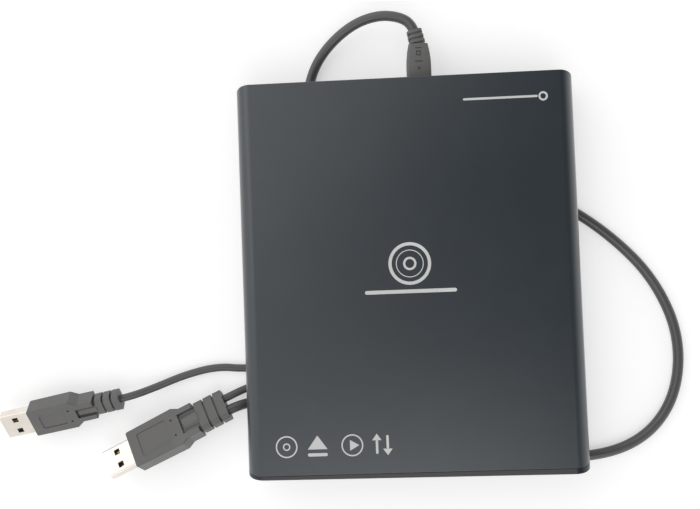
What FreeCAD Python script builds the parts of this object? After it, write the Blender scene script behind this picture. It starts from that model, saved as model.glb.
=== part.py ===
# External disc drive with a sliding tray, its bridge board, its Y cable and both plugs.
# Millimetres, +Z up, the tray opens towards -Y, the origin is the centre of the drive's own box.

import FreeCAD
import Part
import Sketcher

import math
import os

from FreeCAD import Placement, Rotation, Vector

# Driving dimensions: the alias, the size, and what it is
DIMENSIONS = [
    ("recess_radius", 60.4, "recess for a full-size disc"),
    ("small_radius", 40.6, "recess for a small disc"),
    ("small_step", 0.3, "small recess below the full-size one"),
    ("front_rim", 1.6, "deck ahead of the disc's recess"),
    ("side_rim", 1.8, "deck beside the disc's recess"),
    ("rear_room", 2.0, "disc's recess to the slim drive's rear"),
    ("side_room", 3.5, "slim drive to the cover's side wall"),
    ("head_room", 0.3, "slim drive to the cover's roof"),
    ("rear_bay", 29.5, "slim drive to the rear panel"),
    ("foot_height", 1.6, "rubber foot below the casing"),
    ("cover_wall", 1.5, "top cover wall"),
    ("cover_round", 4.5, "rounding of the cover's long edges"),
    ("plan_round", 3.0, "rounding of the casing's four upright corners"),
    ("base_wall", 1.6, "bottom cover wall"),
    ("base_round", 3.0, "rounding of the bottom cover's long edges"),
    ("base_rise", 6.0, "height of the bottom cover up to the parting line"),
    ("lip_rise", 1.6, "locating lip inside the parting line"),
    ("lip_wall", 1.0, "wall of the locating lip"),
    ("seam", 0.1, "gap between casing parts that slip into each other"),
    ("play", 0.3, "gap round a part that moves"),
    ("frame_proud", 1.4, "front frame ahead of the cover"),
    ("frame_inset", 3.1, "front frame inside the cover"),
    ("rear_inset", 1.1, "rear panel behind the cover's rear edge"),
    ("rear_wall", 1.5, "rear panel thickness"),
    ("foot_radius", 4.5, "rubber foot"),
    ("foot_seat", 0.8, "foot let into the bottom cover"),
    ("foot_in", 13.0, "foot from the casing's side"),
    ("foot_along", 14.5, "foot from the casing's front and rear"),
    ("drive_setback", 4.9, "slim drive behind the bezel's face"),
    ("drive_post", 2.8, "posts under the slim drive"),
    ("lid_wall", 0.6, "sheet of the drive's lid"),
    ("lid_skirt", 4.0, "folded edge of the lid"),
    ("pan_wall", 0.8, "sheet of the drive's chassis"),
    ("rail_depth", 3.0, "fixed rail across"),
    ("rail_height", 6.8, "fixed rail"),
    ("rail_wall", 1.1, "fixed rail's lips"),
    ("slider_wall", 0.7, "sliding rail's sheet"),
    ("slider_depth", 2.2, "sliding rail across"),
    ("slider_setback", 14.0, "sliding rail behind the slim drive's front"),
    ("slider_room", 4.0, "sliding rail to the slim drive's rear"),
    ("tongue_setback", 8.0, "tray's sliding edge behind the tray's front"),
    ("tongue_room", 6.0, "tray's sliding edge to the tray's rear"),
    ("tray_deck", 2.7, "deck of the tray with its disc recess"),
    ("tray_floor", 0.8, "deck under the disc"),
    ("tray_gap", 1.25, "deck under the lid"),
    ("tray_skirt", 1.2, "walls under the deck"),
    ("tray_float", 0.55, "tray's walls above the chassis floor"),
    ("tray_setback", 4.5, "tray behind the bezel's face"),
    ("tray_room", 2.4, "tray to the slim drive's rear"),
    ("bezel_side", 2.8, "frame beside the tray's front"),
    ("bezel_sill", 1.05, "tray's front above the bottom cover's floor"),
    ("bezel_head", 1.15, "tray's front below the cover's roof"),
    ("bezel_wall", 2.0, "tray's front"),
    ("bezel_round", 1.2, "tray's front, edges"),
    ("bezel_gap", 0.35, "gap round the tray's front"),
    ("button_x", 30.0, "eject button from the middle"),
    ("button_drop", 3.4, "eject button's middle below the tray's deck"),
    ("button_width", 11.0, "eject button"),
    ("button_height", 3.2, "eject button"),
    ("button_travel", 0.6, "eject button"),
    ("lens_x", 12.0, "indicator from the middle"),
    ("pinhole_x", 19.5, "emergency opening from the middle"),
    ("pinhole_radius", 0.6, "emergency opening"),
    ("traverse_angle", 45.0, "run of the pickup, turned from the rear"),
    ("traverse_wall", 0.8, "traverse plate"),
    ("traverse_drop", 5.1, "traverse plate's top under the tray's deck"),
    ("traverse_float", 1.45, "traverse plate above the chassis floor"),
    ("rod_radius", 1.5, "guide rod"),
    ("rod_half", 15.0, "guide rod from the spindle's axis"),
    ("rod_start", 11.5, "guide rods' near end"),
    ("rod_past", 3.1, "guide rods beyond the disc's recess"),
    ("saddle_length", 3.0, "block that holds a guide rod's end"),
    ("sled_near", 23.5, "objective at its nearest to the spindle"),
    ("skirt_clear", 0.6, "traverse plate's corner to the tray's side wall"),
    ("rotor_radius", 12.0, "spindle motor"),
    ("table_radius", 13.4, "turntable"),
    ("hub_radius", 7.35, "boss that centres the disc"),
    ("shaft_radius", 1.0, "spindle"),
    ("shaft_play", 0.03, "spindle in its bearing"),
    ("screw_x", 21.3, "lead screw from the spindle's axis"),
    ("screw_radius", 1.2, "lead screw"),
    ("stepper_radius", 2.1, "sled motor"),
    ("board_wall", 1.2, "bridge board"),
    ("board_post", 3.25, "posts under the bridge board"),
    ("port_x", 7.2, "cable port from the middle"),
    ("port_height", 3.9, "cable port's shell"),
    ("port_width", 7.7, "cable port's shell"),
    ("plug_gap", 0.3, "cable plug off the rear panel"),
    ("cord_radius", 2.15, "main cord"),
    ("thin_radius", 1.65, "power cord"),
    ("usb_width", 12.0, "large plug's shell"),
    ("usb_height", 4.5, "large plug's shell"),
    ("usb_length", 12.2, "large plug's shell ahead of its grip"),
    ("usb_sheet", 0.35, "large plug's shell"),
]

os.makedirs("parts", exist_ok=True)
doc = FreeCAD.newDocument("disc_drive")
sheet = doc.addObject("Spreadsheet::Sheet", "Sizes")
for row, (alias, number, note) in enumerate(DIMENSIONS, start=1):
    sheet.set(f"A{row}", note)
    sheet.set(f"B{row}", str(number))
    sheet.setAlias(f"B{row}", alias)
doc.recompute()


class Size:
    """A length: its number now, and the formula that ties it to the sheet."""

    def __init__(self, number, formula):
        self.number = number
        self.formula = formula

    def __add__(self, other):
        other = tied(other)
        return Size(self.number + other.number, f"({self.formula} + {other.formula})")

    def __sub__(self, other):
        other = tied(other)
        return Size(self.number - other.number, f"({self.formula} - {other.formula})")

    def __mul__(self, other):
        other = tied(other)
        return Size(self.number * other.number, f"({self.formula} * {other.formula})")

    def __truediv__(self, other):
        other = tied(other)
        return Size(self.number / other.number, f"({self.formula} / {other.formula})")

    def __radd__(self, other):
        return tied(other) + self

    def __rsub__(self, other):
        return tied(other) - self

    def __rmul__(self, other):
        return tied(other) * self

    def __neg__(self):
        return tied(0) - self


def tied(value):
    """A plain number as a Size, or a Size as it is."""
    if isinstance(value, Size):
        return value
    number = round(float(value), 6)
    return Size(number, f"({number})" if number < 0 else str(number))


def size(alias):
    """The sheet's cell of that name."""
    return Size(float(sheet.get(alias)), f"Sizes.{alias}")


subparts = {}


def subpart(label, thing):
    """Names a finished sub-part after its file."""
    thing.Label = label
    subparts[label] = thing
    return thing


# Sketches and features


class Outline:
    """A sketch on one of a body's own planes, every point of it tied to the sheet."""

    def __init__(self, body, plane, level=0):
        self.body = body
        self.sketch = body.newObject("Sketcher::SketchObject", "Outline")
        support = [item for item in body.Origin.OriginFeatures if item.Role == plane][0]
        self.sketch.AttachmentSupport = [(support, "")]
        self.sketch.MapMode = "FlatFace"
        offset = tied(level) * (-1 if plane == "XZ_Plane" else 1)
        self.sketch.AttachmentOffset = Placement(Vector(0, 0, offset.number), Rotation())
        self.sketch.setExpression("AttachmentOffset.Base.z", offset.formula)

        self.geometry = []
        self.constraints = []
        self.formulas = {}

    def tie(self, kind, *where, value):
        self.formulas[len(self.constraints)] = value.formula
        self.constraints.append(Sketcher.Constraint(kind, *where, value.number))

    def pin(self, geometry, position, x, y):
        self.tie("DistanceX", -1, 1, geometry, position, value=tied(x))
        self.tie("DistanceY", -1, 1, geometry, position, value=tied(y))

    def join(self, first, first_end, second, second_end):
        self.constraints.append(Sketcher.Constraint("Coincident", first, first_end, second, second_end))

    def draw(self, shape):
        self.geometry.append(shape)
        return len(self.geometry) - 1

    def close(self):
        """Hands everything to the sketch at once and ties its constraints to the sheet."""
        self.sketch.addGeometry(self.geometry)
        self.sketch.addConstraint(self.constraints)
        for index, formula in self.formulas.items():
            self.sketch.setExpression(f"Constraints[{index}]", formula)

    def line(self, start, end):
        a = Vector(start[0].number, start[1].number, 0)
        b = Vector(end[0].number, end[1].number, 0)
        return self.draw(Part.LineSegment(a, b))

    def circle(self, x, y, radius):
        x, y, radius = tied(x), tied(y), tied(radius)
        shape = Part.Circle(Vector(x.number, y.number, 0), Vector(0, 0, 1), radius.number)
        index = self.draw(shape)
        self.pin(index, 3, x, y)
        self.tie("Radius", index, value=radius)
        return self

    def polygon(self, *corners):
        """Corners are (x, y) or, where two edges along the axes meet, (x, y, radius)."""
        points = []
        for corner in corners:
            points.append((tied(corner[0]), tied(corner[1]), tied(corner[2]) if len(corner) > 2 else None))
        count = len(points)
        stops = []
        for index, (x, y, radius) in enumerate(points):
            if radius is None or radius.number < 1e-6:
                stops.append(((x, y), (x, y), None))
                continue
            before = heading(points[index - 1], points[index])
            after = heading(points[index], points[(index + 1) % count])
            entry = (x - radius * before[0], y - radius * before[1])
            leave = (x + radius * after[0], y + radius * after[1])
            stops.append((entry, leave, (before, after, radius)))
        lines = []
        for index in range(count):
            following = stops[(index + 1) % count]
            lines.append(self.line(stops[index][1], following[0]))
            self.pin(lines[-1], 1, *stops[index][1])
            if following[2] is not None:
                self.pin(lines[-1], 2, *following[0])
        for index in range(count):
            previous = lines[index - 1]
            corner = stops[index][2]
            if corner is None:
                self.join(previous, 2, lines[index], 1)
            else:
                self.corner(previous, lines[index], stops[index])
        return self

    def corner(self, previous, following, stop):
        """The arc between two lines."""
        entry, leave, (before, after, radius) = stop
        start = Vector(entry[0].number, entry[1].number, 0)
        end = Vector(leave[0].number, leave[1].number, 0)
        reach = radius.number
        centre = start + Vector(after[0], after[1], 0) * reach
        tip = centre + (start - centre + end - centre).normalize() * reach
        arc = self.draw(Part.Arc(start, tip, end))
        turns_left = before[0] * after[1] - before[1] * after[0] > 0
        first, last = (1, 2) if turns_left else (2, 1)
        self.join(previous, 2, arc, first)
        self.join(arc, last, following, 1)
        self.tie("Radius", arc, value=radius)

    def rectangle(self, x0, x1, y0, y1, radius=0):
        return self.polygon((x0, y0, radius), (x1, y0, radius), (x1, y1, radius), (x0, y1, radius))


def heading(start, end):
    """Which way an edge along an axis runs."""
    across = end[0].number - start[0].number
    along = end[1].number - start[1].number
    if abs(across) > abs(along):
        return (math.copysign(1, across), 0)
    return (0, math.copysign(1, along))


def new_body(name):
    return doc.addObject("PartDesign::Body", name)


def feature(outline, kind, length, reverse):
    outline.close()
    item = outline.body.newObject(kind, kind.split("::")[1])
    item.Profile = outline.sketch
    item.setExpression("Length", tied(length).formula)
    item.Reversed = reverse
    return item


def pad(outline, length):
    """Adds from the sketch towards +X, +Y or +Z."""
    on_front = outline.sketch.AttachmentSupport[0][0].Role == "XZ_Plane"
    return feature(outline, "PartDesign::Pad", length, on_front)


def pocket(outline, length):
    """Cuts from the sketch towards +X, +Y or +Z."""
    on_front = outline.sketch.AttachmentSupport[0][0].Role == "XZ_Plane"
    return feature(outline, "PartDesign::Pocket", length, not on_front)


def revolve(outline):
    """Turns a sketch on the XZ plane about the upright axis."""
    outline.close()
    item = outline.body.newObject("PartDesign::Revolution", "Revolution")
    item.Profile = outline.sketch
    item.ReferenceAxis = (outline.sketch, ["V_Axis"])
    item.Angle = 360
    return item


def dress(body, kind, radius, chosen):
    """Rounds or chamfers the edges that the test picks from the body so far."""
    doc.recompute()
    base = body.Tip
    names = []
    for index, edge in enumerate(base.Shape.Edges, start=1):
        if chosen(edge.BoundBox):
            names.append(f"Edge{index}")
    if not names:
        raise RuntimeError(f"no edge to finish on {body.Name}")
    item = body.newObject(f"PartDesign::{kind}", kind)
    item.Base = (base, names)
    item.setExpression("Radius" if kind == "Fillet" else "Size", tied(radius).formula)
    return item


def repeat(body, item, outline, count, reach):
    """Repeats a feature in a row along its sketch's own X."""
    doc.recompute()
    row = body.newObject("PartDesign::LinearPattern", "Row")
    row.Originals = [item]
    row.Direction = (outline.sketch, ["H_Axis"])
    row.Occurrences = count
    row.setExpression("Length", tied(reach).formula)
    body.Tip = row
    return row


def at_level(low, high, level, reach=0.01):
    return abs(low - level) < reach and abs(high - level) < reach


# Primitives and booleans


def place(thing, x=0, y=0, z=0):
    for axis, value in (("x", x), ("y", y), ("z", z)):
        value = tied(value)
        setattr(thing.Placement.Base, axis, value.number)
        thing.setExpression(f"Placement.Base.{axis}", value.formula)
    return thing


def block(x0, x1, y0, y1, z0, z1):
    thing = doc.addObject("Part::Box", "Block")
    thing.setExpression("Length", (tied(x1) - x0).formula)
    thing.setExpression("Width", (tied(y1) - y0).formula)
    thing.setExpression("Height", (tied(z1) - z0).formula)
    return place(thing, x0, y0, z0)


TURNS = {
    "Z": Rotation(),
    "Y": Rotation(Vector(1, 0, 0), -90),
    "X": Rotation(Vector(0, 1, 0), 90),
}


def pin(radius, x, y, z, length, axis="Z"):
    """A cylinder from a point towards +X, +Y or +Z."""
    thing = doc.addObject("Part::Cylinder", "Pin")
    thing.setExpression("Radius", tied(radius).formula)
    thing.setExpression("Height", tied(length).formula)
    thing.Placement = Placement(Vector(0, 0, 0), TURNS[axis])
    return place(thing, x, y, z)


def fuse(*parts):
    if len(parts) == 1:
        return parts[0]
    thing = doc.addObject("Part::MultiFuse", "Joined")
    thing.Shapes = list(parts)
    return thing


def cut(base, *tools):
    thing = doc.addObject("Part::Cut", "Cut")
    thing.Base = base
    thing.Tool = fuse(*tools)
    return thing


def group(*parts):
    """Separate solids that share one node."""
    thing = doc.addObject("Part::Compound", "Group")
    thing.Links = list(parts)
    return thing


# Levels and faces that several pieces share

deck_half = size("recess_radius") + size("side_rim")
pan_inside = deck_half + size("play") + 0.1
pan_half = pan_inside + size("pan_wall")
drive_half = pan_half + size("lid_wall")
case_half = drive_half + size("side_room") + size("cover_wall")

disc_centre = size("tray_setback") + size("front_rim") + size("recess_radius")
drive_end = disc_centre + size("recess_radius") + size("rear_room")
case_depth = drive_end + size("rear_bay") + size("rear_wall") + size("rear_inset")
front = -case_depth / 2
rear = case_depth / 2

drive_height = (
    size("pan_wall")
    + size("traverse_float")
    + size("traverse_wall")
    + size("traverse_drop")
    + size("tray_deck")
    + size("tray_gap")
    + size("lid_wall")
)
case_height = size("base_wall") + size("drive_post") + drive_height + size("head_room") + size("cover_wall")
top = (case_height + size("foot_height")) / 2
bottom = -top
under = bottom + size("foot_height")
parting = under + size("base_rise")
cover_front = front + size("frame_proud")
cover_inside = top - size("cover_wall")
base_floor = under + size("base_wall")
foot_x = case_half - size("foot_in")
foot_y = rear - size("foot_along")

drive_front = front + size("drive_setback")
drive_rear = front + drive_end
drive_bottom = base_floor + size("drive_post")
drive_top = drive_bottom + drive_height
pan_floor = drive_bottom + size("pan_wall")
pan_rear = drive_rear - size("lid_wall") - size("pan_wall")
lid_under = drive_top - size("lid_wall")

tray_top = lid_under - size("tray_gap")
tray_under = tray_top - size("tray_deck")
disc_level = tray_under + size("tray_floor")
tray_front = front + size("tray_setback")
tray_rear = drive_rear - size("tray_room")
disc_y = front + disc_centre
skirt_bottom = pan_floor + size("tray_float")

rail_inner = pan_inside - size("rail_depth")
rail_web = pan_inside - size("rail_wall")
rail_top = pan_floor + size("rail_height")
slider_outer = rail_web - size("play")
slider_web = slider_outer - size("slider_wall")
slider_inner = slider_outer - size("slider_depth")
slider_low = pan_floor + size("rail_wall") + size("play")
slider_high = rail_top - size("rail_wall") - size("play")
tongue_outer = slider_web - size("play")
tongue_low = slider_low + size("slider_wall") + size("play")
tongue_high = slider_high - size("slider_wall") - size("play")
skirt_outer = slider_inner - size("play")
skirt_inner = skirt_outer - size("tray_skirt")

bezel_half = case_half - size("bezel_side")
bezel_low = base_floor + size("bezel_sill")
bezel_high = cover_inside - size("bezel_head")
button_z = tray_under - size("button_drop")
latch_x = drive_half - 20.0

traverse_top = tray_under - size("traverse_drop")
traverse_low = traverse_top - size("traverse_wall")
rod_z = traverse_top + 1.6
screw_z = rod_z + 0.55
seat_level = disc_level + 0.5
rod_end = size("recess_radius") + size("rod_past")
plate_end = rod_end + 1.5
skirt_reach = (skirt_inner - size("skirt_clear")) * math.sqrt(2)

board_low = base_floor + size("board_post")
board_top = board_low + size("board_wall")
board_front = drive_rear + 2.2
port_z = board_top + size("port_height") / 2 + 0.05
panel_outer = rear - size("rear_inset")
panel_inner = panel_outer - size("rear_wall")
board_rear = panel_inner - 0.6
port_mouth = panel_inner + 0.5


# Casing


def make_top_cover():
    """A wrapped cover: flat top, both long edges rolled down to the parting line."""
    wall = size("cover_wall")
    bend = size("cover_round")
    body = new_body("top_cover")
    section = Outline(body, "XZ_Plane", cover_front)
    section.polygon(
        (-case_half, parting),
        (-case_half, top, bend),
        (case_half, top, bend),
        (case_half, parting),
        (case_half - wall, parting),
        (case_half - wall, cover_inside, bend - wall),
        (wall - case_half, cover_inside, bend - wall),
        (wall - case_half, parting),
    )
    pad(section, rear - cover_front)
    corners = Outline(body, "XY_Plane", parting)
    spread = case_half + 5
    corners.rectangle(-spread, spread, cover_front - 5, rear + 5)
    corners.rectangle(-case_half, case_half, cover_front - size("plan_round"), rear, size("plan_round"))
    pocket(corners, top - parting)
    for side in (1, -1):
        boss = Outline(body, "XY_Plane", parting)
        boss.circle(side * foot_x, foot_y, 2.6)
        pad(boss, cover_inside - parting)
        hole = Outline(body, "XY_Plane", parting)
        hole.circle(side * foot_x, foot_y, 1.0)
        pocket(hole, 7.0)
    ribs = Outline(body, "XY_Plane", drive_top)
    for y in (-45.0, 0.0, 35.0):
        ribs.rectangle(-case_half + 14, case_half - 14, y, y + 1.0)
    pad(ribs, cover_inside - drive_top)
    subpart("top_cover", body)


def make_bottom_cover():
    """A shallow pan with the posts for the drive and the boards, foot seats and vents."""
    wall = size("base_wall")
    body = new_body("bottom_cover")
    bend = size("base_round")
    section = Outline(body, "XZ_Plane", cover_front)
    section.polygon(
        (-case_half, parting),
        (-case_half, under, bend),
        (case_half, under, bend),
        (case_half, parting),
        (case_half - wall, parting),
        (case_half - wall, base_floor, bend - wall),
        (wall - case_half, base_floor, bend - wall),
        (wall - case_half, parting),
    )
    pad(section, rear - cover_front)
    lip_out = case_half - size("cover_wall") - size("seam")
    lip = Outline(body, "XZ_Plane", drive_front)
    for side in (1, -1):
        lip.polygon(
            (side * lip_out, parting - 1.0),
            (side * lip_out, parting + size("lip_rise")),
            (side * (lip_out - size("lip_wall")), parting + size("lip_rise")),
            (side * (lip_out - size("lip_wall")), parting - 1.0),
        )
    pad(lip, panel_inner - drive_front - 0.2)
    corners = Outline(body, "XY_Plane", under)
    spread = case_half + 5
    corners.rectangle(-spread, spread, cover_front - 5, rear + 5)
    corners.rectangle(-case_half, case_half, cover_front - size("plan_round"), rear, size("plan_round"))
    pocket(corners, parting + size("lip_rise") - under)
    posts = Outline(body, "XY_Plane", base_floor)
    for x, y in drive_fixings():
        posts.circle(x, y, 3.2)
    pad(posts, size("drive_post"))
    shelf = Outline(body, "XY_Plane", base_floor)
    for x, y in board_fixings():
        shelf.circle(x, y, 2.4)
    pad(shelf, size("board_post"))
    towers = Outline(body, "XY_Plane", base_floor)
    for side in (1, -1):
        towers.circle(side * foot_x, foot_y, 3.4)
    pad(towers, parting - base_floor)
    seats = Outline(body, "XY_Plane", under)
    for x, y in foot_places():
        seats.circle(x, y, size("foot_radius"))
    pocket(seats, size("foot_seat"))
    heads = Outline(body, "XY_Plane", under)
    for x, y in drive_fixings():
        heads.circle(x, y, 2.1)
    pocket(heads, 1.4)
    shanks = Outline(body, "XY_Plane", under)
    for x, y in drive_fixings():
        shanks.circle(x, y, 1.1)
    pocket(shanks, drive_bottom - under)
    case_heads = Outline(body, "XY_Plane", under)
    for side in (1, -1):
        case_heads.circle(side * foot_x, foot_y, 2.1)
    pocket(case_heads, 2.4)
    case_shanks = Outline(body, "XY_Plane", under)
    for side in (1, -1):
        case_shanks.circle(side * foot_x, foot_y, 1.1)
    pocket(case_shanks, parting - under)
    vent = Outline(body, "XY_Plane", under)
    vent.rectangle(-20.0, -18.2, board_front + 4.4, board_rear - 4.3, 0.8)
    repeat(body, pocket(vent, wall), vent, 9, 40.0)
    subpart("bottom_cover", body)


def drive_fixings():
    """Where screws come up through the bottom cover into the drive."""
    x = drive_half - 10.0
    return [(side * x, y) for y in (drive_front + 45.6, drive_rear - 12.4) for side in (1, -1)]


def board_fixings():
    return [(-27.0, board_front + 4.4), (-27.0, board_rear - 4.3), (43.0, board_rear - 4.3)]


def foot_places():
    x, y = foot_x, foot_y
    return [(x, y), (-x, y), (x, -y), (-x, -y)]


def sleeve_outline(outline):
    """The room between the closed covers, less the seam."""
    seam = size("seam")
    half = case_half - size("base_wall") - seam
    low = base_floor + seam
    high = cover_inside - seam
    low_bend = size("base_round") - size("base_wall") - seam
    high_bend = size("cover_round") - size("cover_wall") - seam
    outline.polygon(
        (-half, low, low_bend),
        (half, low, low_bend),
        (half, high, high_bend),
        (-half, high, high_bend),
    )


def make_front_frame():
    """The frame round the tray's front, a proud lip with a sleeve inside the covers."""
    body = new_body("front_frame")
    half = bezel_half + size("bezel_gap")
    low = bezel_low - size("bezel_gap")
    high = bezel_high + size("bezel_gap")
    lip = Outline(body, "XZ_Plane", front)
    lip.polygon(
        (-case_half, under, size("base_round")),
        (case_half, under, size("base_round")),
        (case_half, top, size("cover_round")),
        (-case_half, top, size("cover_round")),
    )
    lip.rectangle(-half, half, low, high, size("bezel_round"))
    pad(lip, size("frame_proud"))
    sleeve = Outline(body, "XZ_Plane", cover_front)
    sleeve_outline(sleeve)
    sleeve.rectangle(-half, half, low, high, size("bezel_round"))
    pad(sleeve, size("frame_inset"))
    dress(
        body,
        "Fillet",
        0.6,
        lambda box: at_level(box.YMin, box.YMax, front.number)
        and max(abs(box.XMin), abs(box.XMax)) > bezel_half.number + 1,
    )
    subpart("front_frame", body)


def make_rear_panel():
    """Closes the rear of the covers, with the opening for the cable port."""
    body = new_body("rear_panel")
    plate = Outline(body, "XZ_Plane", panel_inner)
    sleeve_outline(plate)
    pad(plate, size("rear_wall"))
    port = Outline(body, "XZ_Plane", panel_inner)
    width = size("port_width") / 2 + 0.4
    height = size("port_height") / 2 + 0.4
    x = size("port_x")
    port.rectangle(x - width, x + width, port_z - height, port_z + height, 0.6)
    pocket(port, size("rear_wall"))
    subpart("rear_panel", body)


def make_feet():
    rise = size("foot_height") + size("foot_seat")
    feet = []
    for x, y in foot_places():
        foot = cut(pin(size("foot_radius"), x, y, bottom, rise), pin(2.4, x, y, bottom, 0.4))
        feet.append(foot)
    subpart("rubber_feet", group(*feet))


def screw(x, y, head_z, head_height, tip_z, head_radius, shank_radius):
    """A flat-headed screw that comes up from below, with a cross recess."""
    head = pin(head_radius, x, y, head_z, head_height)
    shank = pin(shank_radius, x, y, head_z, tied(tip_z) - head_z)
    drive = [
        block(tied(x) - 0.8, tied(x) + 0.8, tied(y) - 0.2, tied(y) + 0.2, head_z, tied(head_z) + 0.4),
        block(tied(x) - 0.2, tied(x) + 0.2, tied(y) - 0.8, tied(y) + 0.8, head_z, tied(head_z) + 0.4),
    ]
    return cut(fuse(head, shank), *drive)


def make_case_screws():
    seat = under + 2.4
    screws = []
    for side in (1, -1):
        screws.append(screw(side * foot_x, foot_y, seat - 1.2, 1.2, parting + 5.5, 2.0, 1.0))
    subpart("case_screws", group(*screws))


def make_drive_screws():
    seat = under + 1.4
    screws = [screw(x, y, seat - 1.1, 1.1, pan_floor, 2.0, 1.0) for x, y in drive_fixings()]
    subpart("drive_screws", group(*screws))


# Boards and connectors in the rear bay


def make_bridge_board():
    body = new_body("bridge_board")
    plate = Outline(body, "XY_Plane", board_low)
    plate.rectangle(-32.0, 48.0, board_front, board_rear, 1.0)
    for x, y in board_fixings():
        plate.circle(x, y, 1.1)
    pad(plate, size("board_wall"))
    subpart("bridge_board", body)


def make_bridge_chips():
    y = board_front
    chips = [
        block(-14.0, -5.0, y + 7.4, y + 16.4, board_top, board_top + 1.2),
        block(-26.0, -20.0, y + 10.4, y + 15.4, board_top, board_top + 1.6),
        block(17.0, 20.2, y + 17.4, y + 22.4, board_top, board_top + 1.1),
        pin(2.6, 26.5, y + 18.9, board_top, 3.4),
        pin(2.6, 33.5, y + 18.9, board_top, 3.4),
        block(-2.0, 2.6, y + 3.4, y + 8.0, board_top, board_top + 2.0),
    ]
    for step in range(5):
        x = -14.0 + step * 2.2
        chips.append(block(x, x + 1.2, y + 18.9, y + 20.9, board_top, board_top + 0.6))
    subpart("bridge_chips", group(*chips))


def make_sata_socket():
    """The socket on the bridge board that the drive's own connector plugs into."""
    x0, x1 = 19.0, 45.0
    y0 = board_front + 0.2
    shell = block(x0, x1, y0, y0 + 6.5, board_top, board_top + 5.2)
    slot = block(x0 + 1.6, x1 - 1.6, y0, y0 + 4.5, board_top + 1.6, board_top + 3.4)
    subpart("sata_socket", cut(shell, slot))


def make_usb_socket():
    x = size("port_x")
    half = size("port_width") / 2
    rise = size("port_height") / 2
    wall = 0.3
    shell = block(x - half, x + half, port_mouth - 9.0, port_mouth, port_z - rise, port_z + rise)
    room = block(
        x - half + wall,
        x + half - wall,
        port_mouth - 8.0,
        port_mouth,
        port_z - rise + wall,
        port_z + rise - wall,
    )
    tongue = block(x - 1.9, x + 1.9, port_mouth - 8.0, port_mouth - 3.2, port_z - 0.35, port_z + 0.35)
    subpart("usb_socket", fuse(cut(shell, room), tongue))


# Slim drive: chassis, lid and rails


def make_drive_chassis():
    """A pressed pan with folded sides, the latch post and the ejector's bracket."""
    wall = size("pan_wall")
    body = new_body("drive_chassis")
    floor_plate = Outline(body, "XY_Plane", drive_bottom)
    floor_plate.rectangle(-pan_half, pan_half, drive_front, drive_rear - size("lid_wall"))
    pad(floor_plate, lid_under - drive_bottom)
    hollow = Outline(body, "XY_Plane", pan_floor)
    hollow.rectangle(-pan_inside, pan_inside, drive_front - 1, pan_rear)
    pocket(hollow, lid_under - pan_floor)
    holes = Outline(body, "XY_Plane", drive_bottom)
    for x, y in drive_fixings():
        holes.circle(x, y, 1.0)
    pocket(holes, wall)
    mouth = Outline(body, "XZ_Plane", pan_rear - 1.0)
    mouth.rectangle(20.0, 44.0, board_top + 1.0, board_top + 4.0)
    pocket(mouth, wall + 2.0)
    post = Outline(body, "XY_Plane", pan_floor)
    post.circle(latch_x + 6.4, latch_y() - 12.6, 1.2)
    pad(post, 4.2)
    bracket = Outline(body, "XY_Plane", pan_floor)
    bracket.rectangle(-11.0, -5.0, pan_rear - 2.0, pan_rear)
    pad(bracket, 6.5)
    bore = Outline(body, "XZ_Plane", pan_rear - 2.0)
    bore.circle(-8.0, pan_floor + 5.0, 0.9)
    pocket(bore, 1.4)
    subpart("drive_chassis", body)


def make_drive_lid():
    """The pressed lid with its folded edges and a raised field over the disc."""
    wall = size("lid_wall")
    body = new_body("drive_lid")
    plate = Outline(body, "XY_Plane", drive_top - size("lid_skirt"))
    plate.rectangle(-drive_half, drive_half, drive_front, drive_rear)
    pad(plate, size("lid_skirt"))
    hollow = Outline(body, "XY_Plane", drive_top - size("lid_skirt"))
    hollow.rectangle(-pan_half, pan_half, drive_front - 1, drive_rear - wall)
    pocket(hollow, size("lid_skirt") - wall)
    field = Outline(body, "XY_Plane", lid_under)
    field.circle(0, disc_y, size("recess_radius") - 8.4)
    pocket(field, 0.25)
    subpart("drive_lid", body)


def channel(side, outer, web, inner, low, low_lip, high_lip, high, start, length, name):
    """A channel along Y, open towards the middle of the drive."""
    body = new_body(name)
    section = Outline(body, "XZ_Plane", start)
    corners = [
        (inner, low),
        (outer, low),
        (outer, high),
        (inner, high),
        (inner, high_lip),
        (web, high_lip),
        (web, low_lip),
        (inner, low_lip),
    ]
    section.polygon(*[(side * x, z) for x, z in corners])
    pad(section, length)
    return subpart(name, body)


def make_rails():
    lip = size("rail_wall")
    sheet_wall = size("slider_wall")
    names = {1: "right", -1: "left"}
    for side in (1, -1):
        channel(
            side,
            pan_inside,
            rail_web,
            rail_inner,
            pan_floor,
            pan_floor + lip,
            rail_top - lip,
            rail_top,
            drive_front + 0.5,
            drive_rear - drive_front - 2.5,
            f"fixed_rail_{names[side]}",
        )
        channel(
            side,
            slider_outer,
            slider_web,
            slider_inner,
            slider_low,
            slider_low + sheet_wall,
            slider_high - sheet_wall,
            slider_high,
            drive_front + size("slider_setback"),
            drive_rear - drive_front - size("slider_setback") - size("slider_room"),
            f"sliding_rail_{names[side]}",
        )


def make_drive_board():
    right = drive_half - 7.0
    board = block(5.0, right, drive_rear - 26.0, drive_rear - 1.9, pan_floor + 1.5, pan_floor + 2.3)
    posts = []
    for x in (8.0, right - 3.0):
        for back in (23.0, 5.0):
            posts.append(pin(1.6, x, drive_rear - back, pan_floor, 1.5))
    subpart("drive_board", fuse(board, *posts))


def make_drive_chips():
    level = pan_floor + 2.3
    chips = [
        block(10.0, 20.0, drive_rear - 17.0, drive_rear - 7.0, level, level + 1.0),
        block(30.0, 37.0, drive_rear - 22.0, drive_rear - 17.0, level, level + 1.0),
        block(44.0, 50.0, drive_rear - 23.0, drive_rear - 17.0, level, level + 0.9),
        block(23.0, 26.0, drive_rear - 22.0, drive_rear - 18.0, level, level + 0.8),
    ]
    subpart("drive_chips", group(*chips))


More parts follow.
